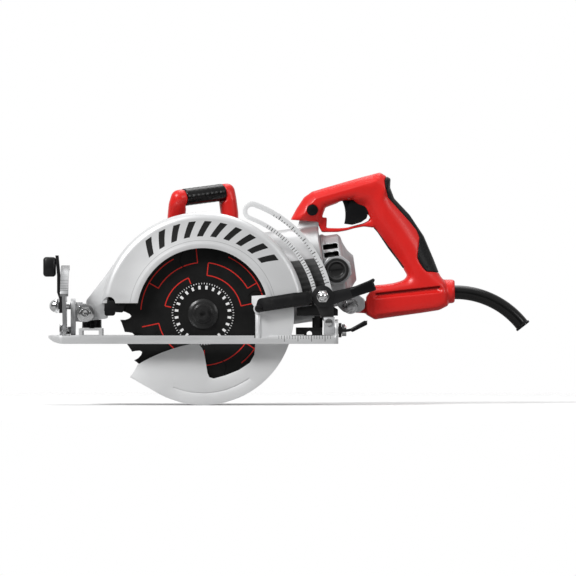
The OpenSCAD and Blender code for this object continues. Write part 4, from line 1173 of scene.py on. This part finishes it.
SILVER: Colour = (0.7, 0.705, 0.71, 1.0)
PALE = CastPaint("pale_paint", (0.8, 0.805, 0.81, 1.0))
ALLOY = BrightAlloy("bright_alloy", (0.6, 0.605, 0.61, 1.0))
CASTING = SandCast("grey_casting", (0.54, 0.545, 0.555, 1.0))
RED = MouldedPlastic("red_plastic", (0.72, 0.015, 0.012, 1.0), gloss=0.4)
HANDLE_RED = HandlePlastic("handle_plastic", RED.colour, gloss=0.4)
BLACK_PLASTIC = MouldedPlastic("black_plastic", (0.004, 0.004, 0.0045, 1.0), shine=0.0, gloss=0.25)
CAP_BLACK = CapPlastic("cap_plastic", grey(0.012), 0.3, shine=0.0)
RUBBER = GripRubber("plain_rubber")
SLEEVE = GripRubber("sleeve_rubber", grey(0.003), 0.2, 0.36)
PIPPED = GripRubber("pipped_rubber", pips=0.35 * MM)
STEEL = TurnedSteel("zinc_steel", (0.72, 0.72, 0.73, 1.0))
CHROME = TurnedSteel("chrome", (0.86, 0.865, 0.87, 1.0), 0.1)
BRONZE = TurnedSteel("bronze", (0.7, 0.42, 0.2, 1.0), 0.3)
BLACK = BlackOxide("black_oxide")
HUB = BlackOxide("hub_black", grey(0.016), 0.25)
FOOT = ScaleSteel("foot_paint", SILVER)
BRACKET = ScaleSteel("bracket_steel", CHROME.colour, metal=0.3, layout=Scale.DEPTH_BRACKET)
QUADRANT = ScaleSteel("quadrant_paint", (0.36, 0.364, 0.37, 1.0), layout=Scale.BEVEL_QUADRANT)


@dataclass
class CuttingHead:
    """Blade, guards and their small parts."""

    shop: Workshop
    deflector: Block = Block(mm(15, 16, 15), mm(-101.5, -4.2, 38.5), 2.2 * MM, undercut=4 * MM)
    lip: Block = Block(mm(24, 7, 11.5), mm(-97, -8.8, 41.2), 1.6 * MM, math.radians(6), 1.2, 3 * MM)

    def build(self) -> None:
        """Dresses the cutting head, and adds the chip deflector."""
        shop = self.shop
        shop.edged(GuardPaint("guard_paint", SILVER), Edge.PLATE, "upper_guard")
        shop.edged(PALE, Edge.PLATE, "lower_guard")
        shop.edged(BladeCoat(), Edge.SHARP, "saw_blade")
        shop.edged(BLACK, Edge.SMALL, "lift_lever", "lever_screws")
        shop.edged(HUB, Edge.SMALL, "outer_washer", "blade_bolt")
        shop.edged(STEEL, Edge.SMALL, "inner_washer")
        shop.edged(STEEL, Edge.SHARP, "arbor_shaft", "guard_screws", "guard_spring", "guard_ring")
        shop.edged(RUBBER, Edge.SHARP, "guard_bumpers")
        meshes = self.deflector.mesh(), self.lip.mesh()
        shop.trim("chip_deflector", RUBBER, "saw_body", "black_rubber", *meshes)


@dataclass
class DriveUnit:
    """Motor, gear case and what turns inside them."""

    shop: Workshop
    voxel: float = 1.0 * MM
    passes: int = 4
    shade_liner_profile: tuple[tuple[float, float], ...] = (mm(141, 35.2), mm(154, 35.2), mm(158.4, 30.2))
    shade_liner_from: float = math.radians(23)
    shade_liner_steps: int = 40
    shade_liner_wall: float = 0.8 * MM

    def build(self) -> None:
        """Dresses the drive, and adds a black liner behind the end housing's vents as painted shade."""
        shop = self.shop
        shop.cast(ALLOY, self.voxel, self.passes, "gear_case")
        shop.cast(CASTING, self.voxel, self.passes, "commutator_housing")
        shop.edged(ALLOY, Edge.COVER, "motor_housing")
        shop.edged(CASTING, Edge.COVER, "front_cover", "side_cover")
        shop.edged(STEEL, Edge.SMALL, "cover_screws", "oil_plug")
        shop.edged(STEEL, Edge.SHARP, "worm", "armature_shaft", "armature_core")
        shop.edged(CHROME, Edge.SHARP, "arbor_bearings", "armature_bearings")
        shop.edged(BRONZE, Edge.SHARP, "worm_wheel", "commutator")
        shop.edged(WoundCopper(), Edge.SHARP, "field_stator")
        shop.edged(CAP_BLACK, Edge.SMALL, "brush_caps")
        shop.edged(BLACK_PLASTIC, Edge.SHARP, "cooling_fan", "carbon_brushes")
        shop.edged(RED, Edge.SMALL, "spindle_lock")
        self.shade_liner()

    def shade_liner(self) -> None:
        """Makes the black liner that puts painted shade behind the end housing's vents, from places
        along the motor and radii.
        """
        centre = Vector((0.0, MOTOR_Y, WORM_DISTANCE))
        mesh = bmesh.new()
        profile = ((u, MOTOR_Y + radius, WORM_DISTANCE) for u, radius in self.shade_liner_profile)
        points = [mesh.verts.new(point) for point in profile]
        edges = [mesh.edges.new(pair) for pair in zip(points, points[1:])]
        first = Matrix.Rotation(self.shade_liner_from, 4, "X")
        bmesh.ops.rotate(mesh, verts=mesh.verts, cent=centre, matrix=first)
        bmesh.ops.spin(
            mesh, geom=points + edges, cent=centre, axis=(1, 0, 0), dvec=(0, 0, 0),
            angle=math.pi - 2 * self.shade_liner_from, steps=self.shade_liner_steps, use_duplicate=False,
        )
        bmesh.ops.recalc_face_normals(mesh, faces=mesh.faces)
        bmesh.ops.solidify(mesh, geom=mesh.faces[:], thickness=self.shade_liner_wall)
        slope = Matrix.Translation(ARBOR) @ Matrix.Rotation(-MOTOR_TILT, 4, "Y")
        bmesh.ops.transform(mesh, matrix=slope, verts=mesh.verts)
        # Painted shade: a black sheet behind the vents, where there is only shade.
        self.shop.trim("vent_shade_liner", BLACK_PLASTIC, "saw_body", "black_plastic", mesh)


@dataclass
class Handles:
    """Rear handle with its trigger and sleeve, and the auxiliary handle."""

    shop: Workshop
    voxel: float = 0.75 * MM
    shell_passes: int = 18
    soft_passes: int = 10
    grip_passes: int = 16

    def build(self) -> None:
        """Dresses the handles, and gives the rear handle's sides their relief."""
        shop = self.shop
        shop.cast(HANDLE_RED, self.voxel, self.shell_passes, "handle_left", "handle_right")
        shop.cast(RED, self.voxel, self.shell_passes, "aux_frame")
        shop.cast(PIPPED, self.voxel, self.soft_passes, "soft_grip")
        shop.cast(SLEEVE, self.voxel, self.grip_passes, "aux_grip")
        for name in ("handle_left", "handle_right", "soft_grip"):
            shop.softener.carved(shop.nodes[name])
        shop.edged(SLEEVE, Edge.LEVER, "cord_sleeve")
        shop.edged(BLACK_PLASTIC, Edge.TRIGGER, "trigger")
        shop.edged(BLACK_PLASTIC, Edge.LEVER, "switch_box", "top_bolt")
        shop.edged(STEEL, Edge.LEVER, "lower_bolt")
        shop.edged(STEEL, Edge.SHARP, "handle_screws", "trigger_pin", "aux_bolts")


@dataclass
class FootAndSettings:
    """Foot, depth and bevel settings and their levers."""

    shop: Workshop
    thumb_pad: Block = Block(
        mm(28.4, 8.6, 13), mm(176.8, -7, 60.8), 1.9 * MM, math.radians(-20), 0.82
    )
    rear_pad: Block = Block(
        mm(20, 15.2, 5.6), mm(172.6, -15, 19.2), 1.7 * MM, math.radians(-28), 0.8
    )

    def build(self) -> None:
        """Dresses the foot and the settings, and adds the pads of two levers."""
        shop = self.shop
        shop.edged(FOOT, Edge.PLATE, "foot")
        shop.edged(BRACKET, Edge.LEVER, "depth_bracket")
        shop.edged(QUADRANT, Edge.PLATE, "bevel_quadrant")
        shop.edged(CASTING, Edge.PLATE, "pivot_block", "rear_block")
        shop.edged(CHROME, Edge.PIN, "bevel_studs", "pivot_bolt", "bracket_pin", "depth_bolt")
        shop.edged(LeverCoat("lever_coat"), Edge.PLATE, "depth_lever")
        shop.edged(BLACK, Edge.LEVER, "stop_plate", "stop_screw", "rear_lever", "bevel_lever")
        shop.edged(BLACK_PLASTIC, Edge.LEVER, "fence_knob")
        pad, rear_pad = self.thumb_pad.mesh(), self.rear_pad.mesh()
        shop.trim("lever_pad", BLACK_PLASTIC, "depth_lever", "black_plastic", pad)
        shop.trim("rear_lever_pad", BLACK_PLASTIC, "rear_lever", "black_plastic", rear_pad)


@dataclass(frozen=True)
class Lamp:
    """A square soft lamp: its name, where it hangs, its side in metres and its power in watts."""

    name: str
    place: Triple
    size: float
    power: float


@dataclass(frozen=True)
class Studio:
    """Pale floor, soft lamps, world and camera."""

    floor_z: float
    centre: Vector = Vector((94.3 * MM, 0.0, 61.8 * MM))
    field_width: float = 638.8 * MM
    distance: float = 10.0
    clip: float = 100.0
    sensor: float = 36.0
    floor_radius: float = 1.3
    floor_sides: int = 96
    floor_fade: Span = (0.4, 0.98)
    lamps: tuple[Lamp, ...] = (
        Lamp("key_lamp", (-1.5, -1.7, 1.8), 0.9, 76.0),
        Lamp("top_lamp", (0.4, 0.1, 2.3), 1.2, 7.0),
        Lamp("fill_lamp", (2.0, -1.5, 0.9), 0.9, 11.0),
        Lamp("back_lamp", (0.3, 1.7, 2.7), 1.5, 22.0),
    )
    sky: Ramp = (-0.2, 0.9, 0.1, 0.5)
    above: Ramp = (0.05, 0.8, 0.08, 0.5)
    beyond: Ramp = (-0.5, 0.7, 0.0, 0.7)

    def build(self) -> None:
        """Sets up the whole stage."""
        self.camera()
        self.world()
        self.floor()
        for lamp in self.lamps:
            self.hang(lamp)

    def camera(self) -> None:
        """Puts a long lens square to the blade's side."""
        data = bpy.data.cameras.new("camera")
        data.sensor_width = self.sensor
        data.lens = self.sensor * self.distance / self.field_width
        data.clip_end = self.clip
        camera = bpy.data.objects.new("camera", data)
        camera.location = self.centre + Vector((0.0, -self.distance, 0.0))
        camera.rotation_euler = (math.pi / 2, 0.0, 0.0)
        bpy.context.scene.collection.objects.link(camera)
        bpy.context.scene.camera = camera

    def world(self) -> None:
        """Shows plain white behind the saw, and lights it with a sky, dim before and below it."""
        world = bpy.data.worlds.new("studio")
        bpy.context.scene.world = world
        world.use_nodes = True
        tree = NodeTree(world.node_tree)
        tree.nodes.clear()
        _, depth, rise = tree.split(tree.add("ShaderNodeTexCoord").outputs["Generated"])
        path = tree.add("ShaderNodeLightPath").outputs
        seen, glossy, passed = (
            Number(tree, path[f"Is {kind} Ray"]) for kind in ("Camera", "Glossy", "Transmission")
        )
        backdrop = tree.spread(rise, *self.above, True).either(tree.spread(depth, *self.beyond, True))
        strengths = tree.spread(rise, *self.sky, True), backdrop.either(seen)
        lights = [{"Color": grey(1.0), "Strength": strength} for strength in strengths]
        soft, shown = (tree.add("ShaderNodeBackground", inputs=light).outputs[0] for light in lights)
        share = seen.either(glossy.either(passed))
        mix = tree.add("ShaderNodeMixShader", inputs={0: share, 1: soft, 2: shown})
        tree.add("ShaderNodeOutputWorld", inputs={0: mix.outputs[0]})

    def floor(self) -> None:
        """Lays a pale round floor that keeps the saw's shadow and fades out at its rim."""
        mesh = bmesh.new()
        sides, radius = self.floor_sides, self.floor_radius
        bmesh.ops.create_circle(mesh, cap_ends=True, segments=sides, radius=radius)
        bmesh.ops.translate(mesh, verts=mesh.verts, vec=(self.centre.x, 0.0, self.floor_z))
        data = bpy.data.meshes.new("floor")
        mesh.to_mesh(data)
        mesh.free()
        tree = FinishTree("pale_floor")
        seen = Number(tree, tree.add("ShaderNodeLightPath").outputs["Is Camera Ray"])
        start, end = (radius * share for share in self.floor_fade)
        away = tree.distance(tree.x - self.centre.x, tree.y)
        tree.finish(
            base_color=tree.mix(seen, grey(0.3), grey(0.95)),
            roughness=0.9,
            alpha=tree.spread(away, start, end, 1.0, 0.0),
        )
        data.materials.append(tree.material)
        floor = bpy.data.objects.new("floor", data)
        bpy.context.scene.collection.objects.link(floor)
        floor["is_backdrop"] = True

    def hang(self, lamp: Lamp) -> None:
        """Adds a lamp that faces the saw.

        Args:
            lamp: The lamp.
        """
        data = bpy.data.lights.new(lamp.name, "AREA")
        data.size = lamp.size
        data.energy = lamp.power
        made = bpy.data.objects.new(lamp.name, data)
        made.location = lamp.place
        towards = self.centre - Vector(lamp.place)
        made.rotation_euler = towards.to_track_quat("-Z", "Y").to_euler()
        bpy.context.scene.collection.objects.link(made)


def main() -> None:
    """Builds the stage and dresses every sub-assembly."""
    logging.basicConfig(level=logging.INFO, format="%(message)s")
    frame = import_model()
    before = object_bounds()
    view = bpy.context.scene.view_settings
    view.view_transform = "Standard"
    Studio(floor_z=before[0][2] - FLOOR_GAP).build()
    shop = Workshop(frame["nodes"])
    for assembly in (CuttingHead(shop), DriveUnit(shop), Handles(shop), FootAndSettings(shop)):
        assembly.build()
        LOG.info("built %s", type(assembly).__name__)
    bpy.context.view_layer.update()


if __name__ == "__main__":
    main()
